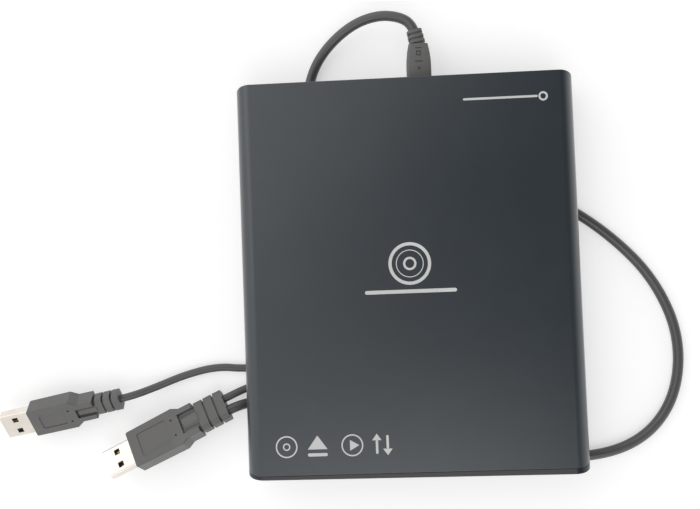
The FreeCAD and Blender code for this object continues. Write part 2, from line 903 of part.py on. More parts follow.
def make_sata_plug():
    level = pan_floor + 2.3
    base = block(21.0, 43.0, drive_rear - 9.0, drive_rear - 1.9, level, level + 2.9)
    blade = block(22.0, 42.0, drive_rear - 1.9, drive_rear + 5.2, board_top + 2.0, board_top + 3.0)
    subpart("sata_plug", fuse(base, blade))


def make_chassis_flex():
    """The ribbon's fixed run, flat on the chassis floor."""
    run = block(26.0, 38.0, disc_y - 10.0, drive_rear - 27.0, pan_floor, pan_floor + 0.2)
    riser = block(26.0, 38.0, drive_rear - 27.2, drive_rear - 27.0, pan_floor, pan_floor + 2.5)
    over = block(26.0, 38.0, drive_rear - 27.2, drive_rear - 24.5, pan_floor + 2.3, pan_floor + 2.5)
    subpart("chassis_flex", fuse(run, riser, over))


def make_ejector():
    """The pin that nudges the tray out once its latch lets go, its spring pressed together."""
    z = pan_floor + 5.0
    seat = pan_rear - 2.0
    shaft = pin(0.8, -8.0, seat - 8.4, z, 9.6, "Y")
    head = pin(2.2, -8.0, seat - 9.2, z, 0.9, "Y")
    subpart("ejector_pin", fuse(shaft, head))
    spring = new_body("ejector_spring")
    coils = Outline(spring, "XZ_Plane", 0)
    turns = 9
    pitch = 0.88
    profile = [(1.28, 0.0)]
    for turn in range(turns):
        profile.append((1.5, turn * pitch))
        profile.append((1.72, (turn + 0.5) * pitch))
    profile.append((1.5, turns * pitch))
    profile.append((1.28, turns * pitch))
    coils.polygon(*profile)
    revolve(coils)
    start = seat - 8.1
    spring.Placement = Placement(Vector(-8.0, start.number, z.number), Rotation(Vector(1, 0, 0), -90))
    spring.setExpression("Placement.Base.y", start.formula)
    spring.setExpression("Placement.Base.z", z.formula)
    subpart("ejector_spring", spring)


# Tray and what rides on it


def on_traverse(thing):
    """Moves a piece from the pickup's own axes, spindle at the origin, to its place in the tray."""
    angle = size("traverse_angle")
    thing.Placement = Placement(Vector(0, disc_y.number, 0), Rotation(Vector(0, 0, 1), angle.number))
    thing.setExpression("Placement.Base.y", disc_y.formula)
    thing.setExpression("Placement.Rotation.Angle", angle.formula)
    return thing


def window_outline(outline, margin):
    """The opening in the deck over the pickup, seen along the pickup's own axes."""
    outline.polygon(
        (-17.5 - margin, -15.0 - margin),
        (17.5 + margin, -15.0 - margin),
        (17.5 + margin, rod_end - 19.5),
        (9.0 + margin, rod_end - 2.0 + margin),
        (-9.0 - margin, rod_end - 2.0 + margin),
        (-17.5 - margin, rod_end - 19.5),
    )


def make_disc_tray():
    """The moulded tray: deck with the disc's recess, walls below it and the edges that slide."""
    body = new_body("tray_moulding")
    deck = Outline(body, "XY_Plane", tray_under)
    deck.rectangle(-deck_half, deck_half, tray_front, tray_rear, 2.0)
    pad(deck, size("tray_deck"))
    large = Outline(body, "XY_Plane", disc_level)
    large.circle(0, disc_y, size("recess_radius"))
    pocket(large, tray_top - disc_level)
    small = Outline(body, "XY_Plane", disc_level - size("small_step"))
    small.circle(0, disc_y, size("small_radius"))
    pocket(small, size("small_step"))
    notch = Outline(body, "XY_Plane", disc_level - size("small_step"))
    notch.rectangle(-11.0, 11.0, tray_front - 1.5, tray_front + 10.0, 4.0)
    pocket(notch, tray_top - disc_level + size("small_step"))
    walls = Outline(body, "XY_Plane", skirt_bottom)
    walls.polygon(
        (-skirt_outer, tray_front),
        (skirt_outer, tray_front),
        (skirt_outer, tray_rear - 5),
        (skirt_inner, tray_rear - 5),
        (skirt_inner, tray_front + 1.2),
        (-skirt_inner, tray_front + 1.2),
        (-skirt_inner, tray_rear - 5),
        (-skirt_outer, tray_rear - 5),
    )
    pad(walls, tray_under - skirt_bottom)
    edges = Outline(body, "XY_Plane", tongue_low)
    edge_front = tray_front + size("tongue_setback")
    edge_rear = tray_rear - size("tongue_room")
    for side in (1, -1):
        edges.polygon(
            (side * skirt_outer, edge_front),
            (side * tongue_outer, edge_front),
            (side * tongue_outer, edge_rear),
            (side * skirt_outer, edge_rear),
        )
    pad(edges, tongue_high - tongue_low)
    board_posts = Outline(body, "XY_Plane", tray_board_top())
    for x in (-34.0, 46.0):
        board_posts.circle(x, tray_front + 5.0, 1.8)
    pad(board_posts, tray_under - tray_board_top())
    pivot = Outline(body, "XY_Plane", latch_low() - 0.4)
    pivot.circle(latch_x, latch_y(), 1.0)
    pad(pivot, tray_under - latch_low() + 0.4)
    tab = Outline(body, "XY_Plane", pan_floor + 3.6)
    tab.rectangle(-11.0, -5.0, pan_rear - 13.8, pan_rear - 11.8)
    pad(tab, tray_under - pan_floor - 3.6)
    passages = Outline(body, "XZ_Plane", tray_front)
    passages.circle(size("button_x"), button_z, 1.5)
    passages.circle(size("pinhole_x"), button_z, size("pinhole_radius"))
    passages.rectangle(size("lens_x") - 1.9, size("lens_x") + 1.9, button_z - 1.0, button_z + 1.0)
    pocket(passages, 1.2)
    window = new_body("tray_window")
    opening = Outline(window, "XY_Plane", tray_under)
    window_outline(opening, 0.0)
    pad(opening, size("tray_deck"))
    on_traverse(window)
    legs = []
    for u, v in damper_places():
        leg = pin(1.6, u, v, damper_top(), tray_under - damper_top())
        legs.append(leg)
    tray = fuse(cut(body, window), on_traverse(group(*legs)))
    subpart("disc_tray", tray)


def damper_places():
    """Rubber mounts of the traverse plate, along the pickup's own axes."""
    return [(-22.5, -17.5), (21.0, -17.5), (21.0, rod_end - 17.0), (-27.5, rod_end - 18.2)]


def damper_top():
    return traverse_top + 0.5


def tray_board_top():
    return tray_under - 1.5


def latch_low():
    return pan_floor + 2.4


def latch_y():
    return front + 28.5


def make_tray_bezel():
    """The tray's front, hollow behind, with the button's well, the indicator and the pinhole."""
    body = new_body("tray_bezel")
    face = Outline(body, "XZ_Plane", front)
    face.rectangle(-bezel_half, bezel_half, bezel_low, bezel_high, size("bezel_round"))
    pad(face, size("tray_setback"))
    dress(
        body,
        "Fillet",
        0.8,
        lambda box: at_level(box.YMin, box.YMax, front.number),
    )
    back = Outline(body, "XZ_Plane", front + size("bezel_wall"))
    wall = 1.5
    back.rectangle(-bezel_half + wall, bezel_half - wall, bezel_low + wall, bezel_high - wall, 0.6)
    pocket(back, size("tray_setback") - size("bezel_wall"))
    x, z = size("button_x"), button_z
    well_half = size("button_width") / 2 + 0.25
    well_rise = size("button_height") / 2 + 0.25
    pads = Outline(body, "XZ_Plane", front + size("bezel_wall"))
    for post_x in (16.2 - bezel_half, tied(-10.0), bezel_half - 14.2):
        pads.rectangle(post_x - 2.0, post_x + 2.0, z - 2.0, z + 2.0)
    pad(pads, size("tray_setback") - size("bezel_wall"))
    well = Outline(body, "XZ_Plane", front)
    well.rectangle(x - well_half, x + well_half, z - well_rise, z + well_rise, 1.2)
    pocket(well, size("bezel_wall"))
    slits = Outline(body, "XZ_Plane", front)
    slits.circle(size("pinhole_x"), z, size("pinhole_radius"))
    slits.rectangle(size("lens_x") - 1.6, size("lens_x") + 1.6, z - 0.7, z + 0.7, 0.4)
    pocket(slits, size("bezel_wall"))
    subpart("tray_bezel", body)


def make_eject_button():
    body = new_body("eject_button")
    x, z = size("button_x"), button_z
    half, rise = size("button_width") / 2, size("button_height") / 2
    cap = Outline(body, "XZ_Plane", front + 0.1)
    cap.rectangle(x - half, x + half, z - rise, z + rise, 1.0)
    pad(cap, 1.9)
    dress(body, "Fillet", 0.4, lambda box: at_level(box.YMin, box.YMax, front.number + 0.1))
    stem = Outline(body, "XZ_Plane", front + 2.0)
    stem.circle(x, z, 1.1)
    pad(stem, size("tray_setback") + 1.2 + 0.3 - 2.0)
    subpart("eject_button", body)


def make_indicator():
    x, z = size("lens_x"), button_z
    light = fuse(
        block(x - 1.35, x + 1.35, front + 0.1, front + 6.6, z - 0.45, z + 0.45),
        block(x - 1.6, x + 1.6, front + size("bezel_wall"), front + size("bezel_wall") + 0.8, z - 1.2, z + 1.2),
    )
    subpart("indicator_lens", light)


def make_tray_board():
    low = tray_board_top() - 0.8
    plate = block(-42.0, 50.0, tray_front + 1.6, tray_front + 21.0, low, tray_board_top())
    parts = [
        block(size("lens_x") - 1.2, size("lens_x") + 1.2, front + 6.8, front + 8.6, low - 1.6, low),
        block(-30.0, -16.0, tray_front + 8.0, tray_front + 12.0, low - 1.4, low),
        block(-8.0, 1.0, tray_front + 8.0, tray_front + 15.0, low - 1.0, low),
    ]
    subpart("tray_board", fuse(plate, *parts))


def make_eject_switch():
    x, z = size("button_x"), button_z
    y = front + size("tray_setback") + 1.5 + size("button_travel") + 0.2
    body = block(x - 2.2, x + 2.2, y + 0.9, y + 4.0, z - 1.5, tray_board_top() - 0.8)
    knob = pin(0.8, x, y, z, 1.0, "Y")
    subpart("eject_switch", fuse(body, knob))


def make_tray_flex():
    """The ribbon's moving run, flat under the tray's board."""
    low = tray_board_top() - 0.8
    run = block(0.0, 11.0, tray_front + 16.0, tray_front + 21.0, low - 0.2, low)
    subpart("tray_flex", run)


def make_latch():
    """The hook that holds the closed tray, drawn let go, and the solenoid that works it."""
    z = latch_low()
    y = latch_y()
    body = new_body("latch_hook")
    arm = Outline(body, "XY_Plane", z)
    arm.polygon(
        (latch_x - 2.0, y + 3.0),
        (latch_x + 2.0, y + 3.0),
        (latch_x + 2.6, y - 8.0),
        (latch_x + 4.4, y - 9.6),
        (latch_x + 4.2, y - 11.2),
        (latch_x - 0.2, y - 10.6),
        (latch_x - 2.0, y - 3.0),
    )
    arm.circle(latch_x, y, 1.05)
    pad(arm, 1.4)
    subpart("latch_hook", body)
    end = latch_x - 6.0
    case = block(end - 9.0, end, y - 12.0, y - 6.0, z - 0.9, tray_board_top() - 0.8)
    core = pin(1.0, end, y - 9.0, z + 1.2, 3.6, "X")
    subpart("latch_solenoid", fuse(case, core))


# Traverse: spindle and pickup, drawn along the pickup's own axes


def make_traverse_frame():
    body = new_body("traverse_frame")
    plate = Outline(body, "XY_Plane", traverse_low)
    plate.polygon(
        (-26.0, -20.5),
        (24.0, -20.5),
        (24.0, plate_end - 12.0),
        (17.0, plate_end),
        (plate_end - skirt_reach, plate_end),
        (-26.0, skirt_reach - 27.0),
        (-30.5, skirt_reach - 32.0),
        (-30.5, plate_end - 23.0),
        (-26.0, plate_end - 27.0),
    )
    saddle_face = rod_end - size("saddle_length")
    plate.polygon(
        (-18.6, 14.5),
        (18.6, 14.5),
        (18.6, saddle_face),
        (12.8, saddle_face),
        (12.8, saddle_face + 2.0),
        (-12.8, saddle_face + 2.0),
        (-12.8, saddle_face),
        (-18.6, skirt_reach - 20.1),
    )
    for u, v in damper_places():
        plate.circle(u, v, 2.0)
    pad(plate, size("traverse_wall"))
    rim = Outline(body, "XY_Plane", traverse_top)
    rim.rectangle(-14.0, 14.0, -20.5, -19.5)
    rim.rectangle(23.0, 24.0, -12.0, plate_end - 23.0)
    rim.rectangle(-14.5, 14.5, plate_end - 1.0, plate_end)
    pad(rim, 2.2)
    saddles = Outline(body, "XY_Plane", traverse_top)
    for side in (1, -1):
        for v in (size("rod_start"), saddle_face):
            u0 = side * size("rod_half") - 2.3
            saddles.rectangle(u0, u0 + 4.6, v, v + size("saddle_length"))
    pad(saddles, 3.6)
    bores = Outline(body, "XZ_Plane", size("rod_start"))
    for side in (1, -1):
        bores.circle(side * size("rod_half"), rod_z, size("rod_radius"))
    pocket(bores, rod_end - size("rod_start"))
    bearing = Outline(body, "XY_Plane", traverse_top)
    bearing.rectangle(-size("screw_x") - 2.0, -size("screw_x") + 2.0, screw_bearing(), screw_bearing() + 1.2)
    pad(bearing, 3.4)
    bore = Outline(body, "XZ_Plane", screw_bearing())
    bore.circle(-size("screw_x"), screw_z, 0.55)
    pocket(bore, 1.2)
    on_traverse(body)
    subpart("traverse_frame", body)


def screw_bearing():
    """The near face of the lead screw's far bearing."""
    return rod_end - 10.1


def make_dampers():
    rings = []
    screws = []
    for u, v in damper_places():
        ring = cut(
            fuse(
                pin(2.0, u, v, traverse_low - 0.5, size("traverse_wall") + 1.0),
                pin(2.8, u, v, traverse_low - 0.5, 0.5),
                pin(2.8, u, v, traverse_top, 0.5),
            ),
            pin(1.1, u, v, traverse_low - 0.5, size("traverse_wall") + 1.0),
        )
        rings.append(ring)
        screws.append(
            cut(
                fuse(
                    pin(2.2, u, v, traverse_low - 0.95, 0.45),
                    pin(1.0, u, v, traverse_low - 0.95, damper_top() - traverse_low + 0.95),
                ),
                block(u - 1.3, u + 1.3, v - 0.2, v + 0.2, traverse_low - 0.95, traverse_low - 0.75),
            )
        )
    subpart("traverse_dampers", on_traverse(group(*rings)))
    subpart("damper_screws", on_traverse(group(*screws)))


def make_mechanism_cover():
    """The thin plate that closes the tray's window round the turntable and the lens."""
    body = new_body("mechanism_cover")
    plate = Outline(body, "XY_Plane", tray_under - 0.4)
    window_outline(plate, 1.6)
    plate.circle(0, 0, size("table_radius") + 0.8)
    plate.rectangle(-6.0, 6.0, size("table_radius") + 1.8, rod_end - 2.5, 2.0)
    pad(plate, 0.4)
    on_traverse(body)
    subpart("mechanism_cover", body)


def make_guide_rods():
    length = rod_end - size("rod_start")
    rods = []
    for side in (1, -1):
        rods.append(pin(size("rod_radius"), side * size("rod_half"), size("rod_start"), rod_z, length, "Y"))
    subpart("guide_rods", on_traverse(group(*rods)))


def make_stepper():
    radius = size("stepper_radius")
    u = -size("screw_x")
    can = pin(radius, u, -6.0, screw_z, 17.6, "Y")
    foot = block(u - 2.0, u + 2.0, -5.0, 10.0, traverse_top, screw_z)
    bore = pin(0.75, u, 10.0, screw_z, 1.6, "Y")
    subpart("sled_motor", on_traverse(cut(fuse(can, foot), bore)))


def make_lead_screw():
    """A multi-start screw: a core with raised turns."""
    u = -size("screw_x")
    start = 12.0
    pitch = 1.6
    length = screw_bearing() - 0.3 - start
    core = pin(size("screw_radius") - 0.3, u, start, screw_z, length, "Y")
    shaft = pin(0.5, u, start - 1.6, screw_z, length + 3.0, "Y")
    turns = []
    for step in range(int(length.number / pitch)):
        turns.append(pin(size("screw_radius"), u, start + 0.6 + pitch * step, screw_z, 0.8, "Y"))
    subpart("lead_screw", on_traverse(fuse(core, shaft, *turns)))


def make_spindle_motor():
    """The fixed half: mounting plate, bearing sleeve and the toothed core with its windings."""
    plate = pin(11.4, 0, 0, traverse_top, 0.6)
    ear = block(-4.0, 4.0, -18.0, 0.0, traverse_top, traverse_top + 0.6)
    sleeve = pin(2.6, 0, 0, traverse_top, 4.0)
    core = pin(4.4, 0, 0, traverse_top, 3.2)
    teeth = []
    for step in range(9):
        tooth = fuse(
            block(3.0, 8.6, -1.0, 1.0, traverse_top + 1.3, traverse_top + 3.1),
            block(8.6, 9.8, -2.6, 2.6, traverse_top + 1.3, traverse_top + 3.1),
        )
        tooth.Placement = Placement(Vector(0, 0, 0), Rotation(Vector(0, 0, 1), 40 * step))
        teeth.append(tooth)
    bore = pin(size("shaft_radius") + size("shaft_play"), 0, 0, traverse_top + 0.3, 4.0)
    subpart("spindle_motor", on_traverse(cut(fuse(plate, ear, sleeve, core, *teeth), bore)))


CLAW_TURN = math.radians(45)


def make_turntable():
    """The turning half: rotor cup, spindle, table and the boss that centres the disc."""
    body = new_body("turntable")
    rotor = size("rotor_radius")
    table = size("table_radius")
    hub = size("hub_radius")
    cup_low = traverse_top + 1.0
    cup_roof = traverse_top + 4.5
    groove = seat_level - 0.35
    half = Outline(body, "XZ_Plane", 0)
    half.polygon(
        (0.0, cup_low - 0.5),
        (size("shaft_radius"), cup_low - 0.5),
        (size("shaft_radius"), cup_roof),
        (rotor - 0.8, cup_roof),
        (rotor - 0.8, cup_low),
        (rotor, cup_low),
        (rotor, groove - 0.9),
        (table, groove - 0.9),
        (table, seat_level - 0.1),
        (table - 0.6, seat_level - 0.1),
        (table - 0.6, groove),
        (table - 4.0, groove),
        (table - 4.0, seat_level - 0.1),
        (hub, seat_level - 0.1),
        (hub, seat_level + 1.3),
        (hub - 0.9, seat_level + 2.1),
        (2.2, seat_level + 2.1),
        (1.6, seat_level + 1.7),
        (0.0, seat_level + 1.7),
    )
    revolve(half)
    slots = Outline(body, "XY_Plane", seat_level + 0.2)
    along = Vector(math.cos(CLAW_TURN), math.sin(CLAW_TURN), 0)
    across = Vector(-along.y, along.x, 0) * 1.2
    corners = [along * 5.0 - across, along * 8.5 - across, along * 8.5 + across, along * 5.0 + across]
    slots.polygon(*[(corner.x, corner.y) for corner in corners])
    pocket(slots, 2.5)
    doc.recompute()
    slot = body.Tip
    pattern = body.newObject("PartDesign::PolarPattern", "Slots")
    pattern.Originals = [slot]
    pattern.Axis = (slots.sketch, ["N_Axis"])
    pattern.Angle = 360
    pattern.Occurrences = 3
    body.Tip = pattern
    on_traverse(body)
    subpart("turntable", body)


def make_hub_claws():
    """Three sprung claws in the boss that grip the disc's hole."""
    claws = []
    hub = size("hub_radius")
    for step in range(3):
        claw = fuse(
            block(5.0, hub, -1.0, 1.0, seat_level + 0.2, seat_level + 1.4),
            pin(0.45, hub - 0.45, -1.0, seat_level + 1.35, 2.0, "Y"),
        )
        turn = math.degrees(CLAW_TURN) + 120 * step
        claw.Placement = Placement(Vector(0, 0, 0), Rotation(Vector(0, 0, 1), turn))
        claws.append(claw)
    subpart("hub_claws", on_traverse(group(*claws)))


def make_grip_ring():
    body = new_body("grip_ring")
    table = size("table_radius")
    half = Outline(body, "XZ_Plane", 0)
    half.rectangle(table - 3.9, table - 0.7, seat_level - 0.35, seat_level)
    revolve(half)
    on_traverse(body)
    subpart("grip_ring", body)


def make_pickup_sled():
    """The die-cast sled: two bushings on the main rod, a fork on the other, a well for the lens."""
    body = new_body("sled_casting")
    near = size("sled_near")
    low = traverse_low - 0.6
    high = tray_under - 1.1
    block_outline = Outline(body, "XY_Plane", low)
    block_outline.polygon(
        (-12.4, near - 5.5),
        (-6.5, near - 8.0),
        (6.5, near - 8.0),
        (12.4, near - 5.5),
        (12.4, near + 3.5),
        (9.0, near + 5.5),
        (-9.0, near + 5.5),
        (-12.4, near + 3.5),
    )
    pad(block_outline, high - low)
    arms = Outline(body, "XY_Plane", rod_z - 1.9)
    arms.rectangle(-17.6, -11.8, near - 6.5, near + 3.5)
    arms.rectangle(11.8, 17.6, near - 3.0, near + 3.0)
    pad(arms, 4.2)
    well = Outline(body, "XY_Plane", high - 3.2)
    well.rectangle(-6.4, 6.4, near - 4.6, near + 4.6, 1.0)
    pocket(well, 3.2)
    window = Outline(body, "XY_Plane", low + 0.8)
    window.circle(0, near, 3.0)
    pocket(window, high - low - 3.2)
    main_bore = Outline(body, "XZ_Plane", near - 7.0)
    main_bore.circle(-size("rod_half"), rod_z, size("rod_radius") + 0.05)
    pocket(main_bore, 12.0)
    fork = Outline(body, "XZ_Plane", near - 4.0)
    reach = size("rod_radius") + 0.08
    fork.rectangle(size("rod_half") - reach, size("rod_half") + 3.0, rod_z - reach, rod_z + reach)
    pocket(fork, 8.0)
    follower_outer = -size("screw_x") + size("screw_radius") + 0.12
    follower = Outline(body, "XY_Plane", screw_z - 0.9)
    follower.rectangle(follower_outer, -17.4, near - 6.4, near - 3.6)
    pad(follower, 1.6)
    on_traverse(body)
    subpart("pickup_sled", body)


def make_lens():
    """The lens holder in its magnet well, and the objective on top of it."""
    near = size("sled_near")
    high = tray_under - 1.1
    holder = fuse(
        block(-5.2, 5.2, near - 3.6, near + 3.6, high - 2.4, high - 0.2),
        pin(2.9, 0, near, high - 0.4, 0.9),
    )
    holder = cut(holder, pin(1.9, 0, near, high - 2.4, 3.0))
    subpart("lens_holder", on_traverse(holder))
    body = new_body("objective_glass")
    half = Outline(body, "XZ_Plane", 0)
    half.polygon(
        (0.0, high - 0.6),
        (1.85, high - 0.6),
        (1.85, high + 0.4),
        (1.2, high + 0.75),
        (0.0, high + 0.9),
    )
    revolve(half)
    near_number = near.number
    angle = math.radians(size("traverse_angle").number)
    spot = Vector(-near_number * math.sin(angle), near_number * math.cos(angle) + disc_y.number, 0)
    body.Placement = Placement(spot, Rotation())
    base = size("traverse_angle")
    body.setExpression("Placement.Base.x", f"(-{near.formula} * sin({base.formula} * 1deg))")
    body.setExpression("Placement.Base.y", f"({near.formula} * cos({base.formula} * 1deg) + {disc_y.formula})")
    subpart("objective_lens", body)


# Cable: cords, plugs and their grips


def cord_path(points):
    """Straight runs joined by arcs, each as large as its two runs allow."""
    share = 0.45
    edges = []
    radii = []
    start = points[0]
    for before, corner, after in zip(points, points[1:], points[2:]):
        arriving = (corner - before).normalize()
        leaving = (after - corner).normalize()
        turn = arriving.getAngle(leaving)
        back = share * min((corner - before).Length, (after - corner).Length)
        radius = back / math.tan(turn / 2)
        radii.append(round(radius, 1))
        entry = corner - arriving * back
        leave = corner + leaving * back
        inward = (leaving - arriving).normalize()
        centre = corner + inward * (radius / math.cos(turn / 2))
        edges.append(Part.LineSegment(start, entry).toShape())
        edges.append(Part.Arc(entry, centre - inward * radius, leave).toShape())
        start = leave
    edges.append(Part.LineSegment(start, points[-1]).toShape())
    return Part.Wire(edges), radii


def cord_tube(name, radius, points):
    path, radii = cord_path(points)
    direction = points[1] - points[0]
    section = Part.Wire(Part.makeCircle(radius, points[0], direction))
    tube = path.makePipeShell([section], True, False)
    expected = math.pi * radius**2 * path.Length
    print(name, "length", round(path.Length, 1), "smallest radius", min(radii), "radii", radii)
    if abs(tube.Volume - expected) > 0.01 * expected:
        raise RuntimeError(f"{name}: volume {tube.Volume:.1f}, expected {expected:.1f}")
    thing = doc.addObject("Part::Feature", name)
    thing.Shape = tube
    subpart(name, thing)
    return path.Length


def seated(thing, place_at):
    """Puts a plug piece, drawn along its own axes, where the plug lies."""
    thing.Placement = place_at
    return thing


def plug_place(tip_angle, pitch, roll, at):
    """Own axes: the shell points along +X from the grip's rear end, the wide face is up."""
    turn = Rotation(Vector(0, 0, 1), tip_angle)
    nod = Rotation(Vector(0, 1, 0), -pitch)
    lean = Rotation(Vector(1, 0, 0), roll)
    return Placement(Vector(*at), turn.multiply(nod).multiply(lean))


def plug_grip(name, form, holes, place_at):
    """The moulded grip: a wide block, shoulders in to two ledges, and a ribbed strain relief between them."""
    body = new_body(name)
    rise = form["height"] / 2
    wide = form["widest"] / 2
    nose = form["front"] / 2
    ledge = form["ledge_width"] / 2
    ledge_end = form["relief"]
    ledge_start = ledge_end + form["ledge"]
    block_start = ledge_start + form["shoulder"]
    end = block_start + form["block"]
    outline = Outline(body, "XY_Plane", -rise)
    outline.polygon(
        (ledge_end, -ledge),
        (ledge_start, -ledge),
        (block_start, -wide),
        (end, -nose),
        (end, nose),
        (block_start, wide),
        (ledge_start, ledge),
        (ledge_end, ledge),
    )
    pad(outline, form["height"])
    dress(body, "Fillet", 0.8, lambda box: box.ZLength > form["height"] - 0.1 and box.XMin > ledge_end + 1)
    dress(
        body,
        "Fillet",
        0.5,
        lambda box: (at_level(box.ZMin, box.ZMax, rise) or at_level(box.ZMin, box.ZMax, -rise)),
    )
    notch_half = ledge - 2.4
    for level, sunk in ((rise - 1.3, 1.3), (-rise, 1.3)):
        notch = Outline(body, "XY_Plane", level)
        notch.rectangle(ledge_end - 1.0, ledge_start + 1.5, -notch_half, notch_half)
        pocket(notch, sunk)
    field = Outline(body, "XY_Plane", rise - 0.3)
    field.rectangle(end - 0.82 * form["block"], end - 4.3, 3.4 - wide, wide - 3.4, 0.8)
    pocket(field, 0.3)
    dots = Outline(body, "XY_Plane", rise - 0.6)
    for side in (1, -1):
        dots.circle(end - 0.93 * form["block"], side * 0.41 * wide, 0.45)
    pocket(dots, 0.6)
    relief = form["relief_width"] / 2
    core = Outline(body, "YZ_Plane", 0.8)
    core_rise = rise - 1.5
    core.rectangle(1.4 - relief, relief - 1.4, -core_rise, core_rise, core_rise * 0.6)
    pad(core, ledge_end)
    collar = Outline(body, "YZ_Plane", ledge_end - 1.0)
    collar_half = notch_half - 0.3
    collar.rectangle(-collar_half, collar_half, 0.4 - rise, rise - 0.4, collar_half * 0.8)
    pad(collar, ledge_start + 1.5 - ledge_end)
    ribs = 3
    step = ledge_end / ribs
    rib_rise = rise - 0.7
    for index in range(ribs):
        rib = Outline(body, "YZ_Plane", index * step)
        rib.rectangle(-relief, relief, -rib_rise, rib_rise, rib_rise * 0.6)
        pad(rib, step - 0.9)
    entry = Outline(body, "YZ_Plane", 0)
    for y, radius in holes:
        entry.circle(y, 0, radius)
    pocket(entry, HOLE_DEPTH)
    socket = Outline(body, "YZ_Plane", end - 3.0)
    shell_half = size("usb_width") / 2
    shell_rise = size("usb_height") / 2
    socket.rectangle(-shell_half, shell_half, -shell_rise, shell_rise)
    pocket(socket, 3.0)
    subpart(name, seated(body, place_at))
    return end


def plug_metal(prefix, reach, place_at):
    """The folded shell with its windows, the tongue inside it and the four contacts."""
    half = size("usb_width") / 2
    rise = size("usb_height") / 2
    wall = size("usb_sheet")
    start = reach - 3.0
    end = reach + size("usb_length")
    body = new_body(f"{prefix}_shell")
    ring = Outline(body, "YZ_Plane", start)
    ring.rectangle(-half, half, -rise, rise)
    ring.rectangle(wall - half, half - wall, wall - rise, rise - wall)
    pad(ring, end - start)
    windows = Outline(body, "XY_Plane", -rise)
    for side in (1, -1):
        windows.rectangle(end - 7.1, end - 4.8, side * 2.9 - 1.15, side * 2.9 + 1.15)
    pocket(windows, rise * 2)
    subpart(f"{prefix}_shell", seated(body, place_at))
    tongue = fuse(
        block(start, start + 1.6, wall - half, half - wall, wall - rise, rise - wall),
        block(start, end - 0.9, -half + wall + 0.2, half - wall - 0.2, wall - rise, -rise + wall + 1.9),
    )
    subpart(f"{prefix}_tongue", seated(tongue, place_at))
    level = -rise + wall + 1.9
    strips = []
    for y, back in ((-3.5, 0.0), (-1.0, 1.0), (1.0, 1.0), (3.5, 0.0)):
        strips.append(block(start + 2.0, end - 1.9 - back, y - 0.5, y + 0.5, level, level + 0.15))
    subpart(f"{prefix}_contacts", seated(group(*strips), place_at))


def relief_place():
    """Where the small plug's relief leaves its grip, on the cord's axis."""
    y = panel_outer + size("plug_gap") + MINI_GRIP
    end = Vector(size("port_x").number, y.number, port_z.number)
    return Placement(end, Rotation(Vector(0, 0, 1), RELIEF_LEAN))


def lean_relief(x, y):
    """The small plug's ribbed relief, which its cord pulls over to the left."""
    body = new_body("mini_plug_relief")
    core = Outline(body, "XZ_Plane", -1.4)
    core.rectangle(-2.7, 2.7, port_z - 2.4, port_z + 2.4, 1.6)
    pad(core, 7.8)
    for index, half in enumerate((3.6, 3.4, 3.2)):
        rib = Outline(body, "XZ_Plane", 0.9 + index * 2.1)
        rib.rectangle(-half, half, port_z - 3.0, port_z + 3.0, 1.8)
        pad(rib, 1.3)
    entry = Outline(body, "XZ_Plane", RELIEF_HOLE)
    entry.circle(0, port_z, size("cord_radius"))
    pocket(entry, 1.6)
    body.Placement = Placement(Vector(0, 0, 0), Rotation(Vector(0, 0, 1), RELIEF_LEAN))
    return place(body, x, y)


def make_mini_plug():
    """The small plug at the rear: tapered grip, three ribs and a shell in the port."""
    x = size("port_x")
    y = panel_outer + size("plug_gap")
    body = new_body("mini_plug_grip")
    outline = Outline(body, "XY_Plane", port_z - 3.8)
    outline.polygon(
        (x - 5.2, y),
        (x + 5.2, y),
        (x + 5.2, y + 4.0),
        (x + 4.0, y + MINI_GRIP),
        (x - 4.0, y + MINI_GRIP),
        (x - 5.2, y + 4.0),
    )
    pad(outline, 7.6)
    dress(
        body,
        "Chamfer",
        0.7,
        lambda box: at_level(box.ZMin, box.ZMax, (port_z - 3.8).number)
        or at_level(box.ZMin, box.ZMax, (port_z + 3.8).number),
    )
    subpart("mini_plug_grip", fuse(body, lean_relief(x, y + MINI_GRIP)))
    shell = block(x - 3.35, x + 3.35, y - 6.6, y, port_z - 1.5, port_z + 1.5)
    room = block(x - 3.0, x + 3.0, y - 6.6, y - 0.6, port_z - 1.15, port_z + 1.15)
    subpart("mini_plug_shell", cut(shell, room))


HOLE_DEPTH = 2.0
MINI_GRIP = 16.4
RELIEF_LEAN = 26.0
RELIEF_HOLE = 4.8

# Routes chosen by hand, between the grips that the cords come out of

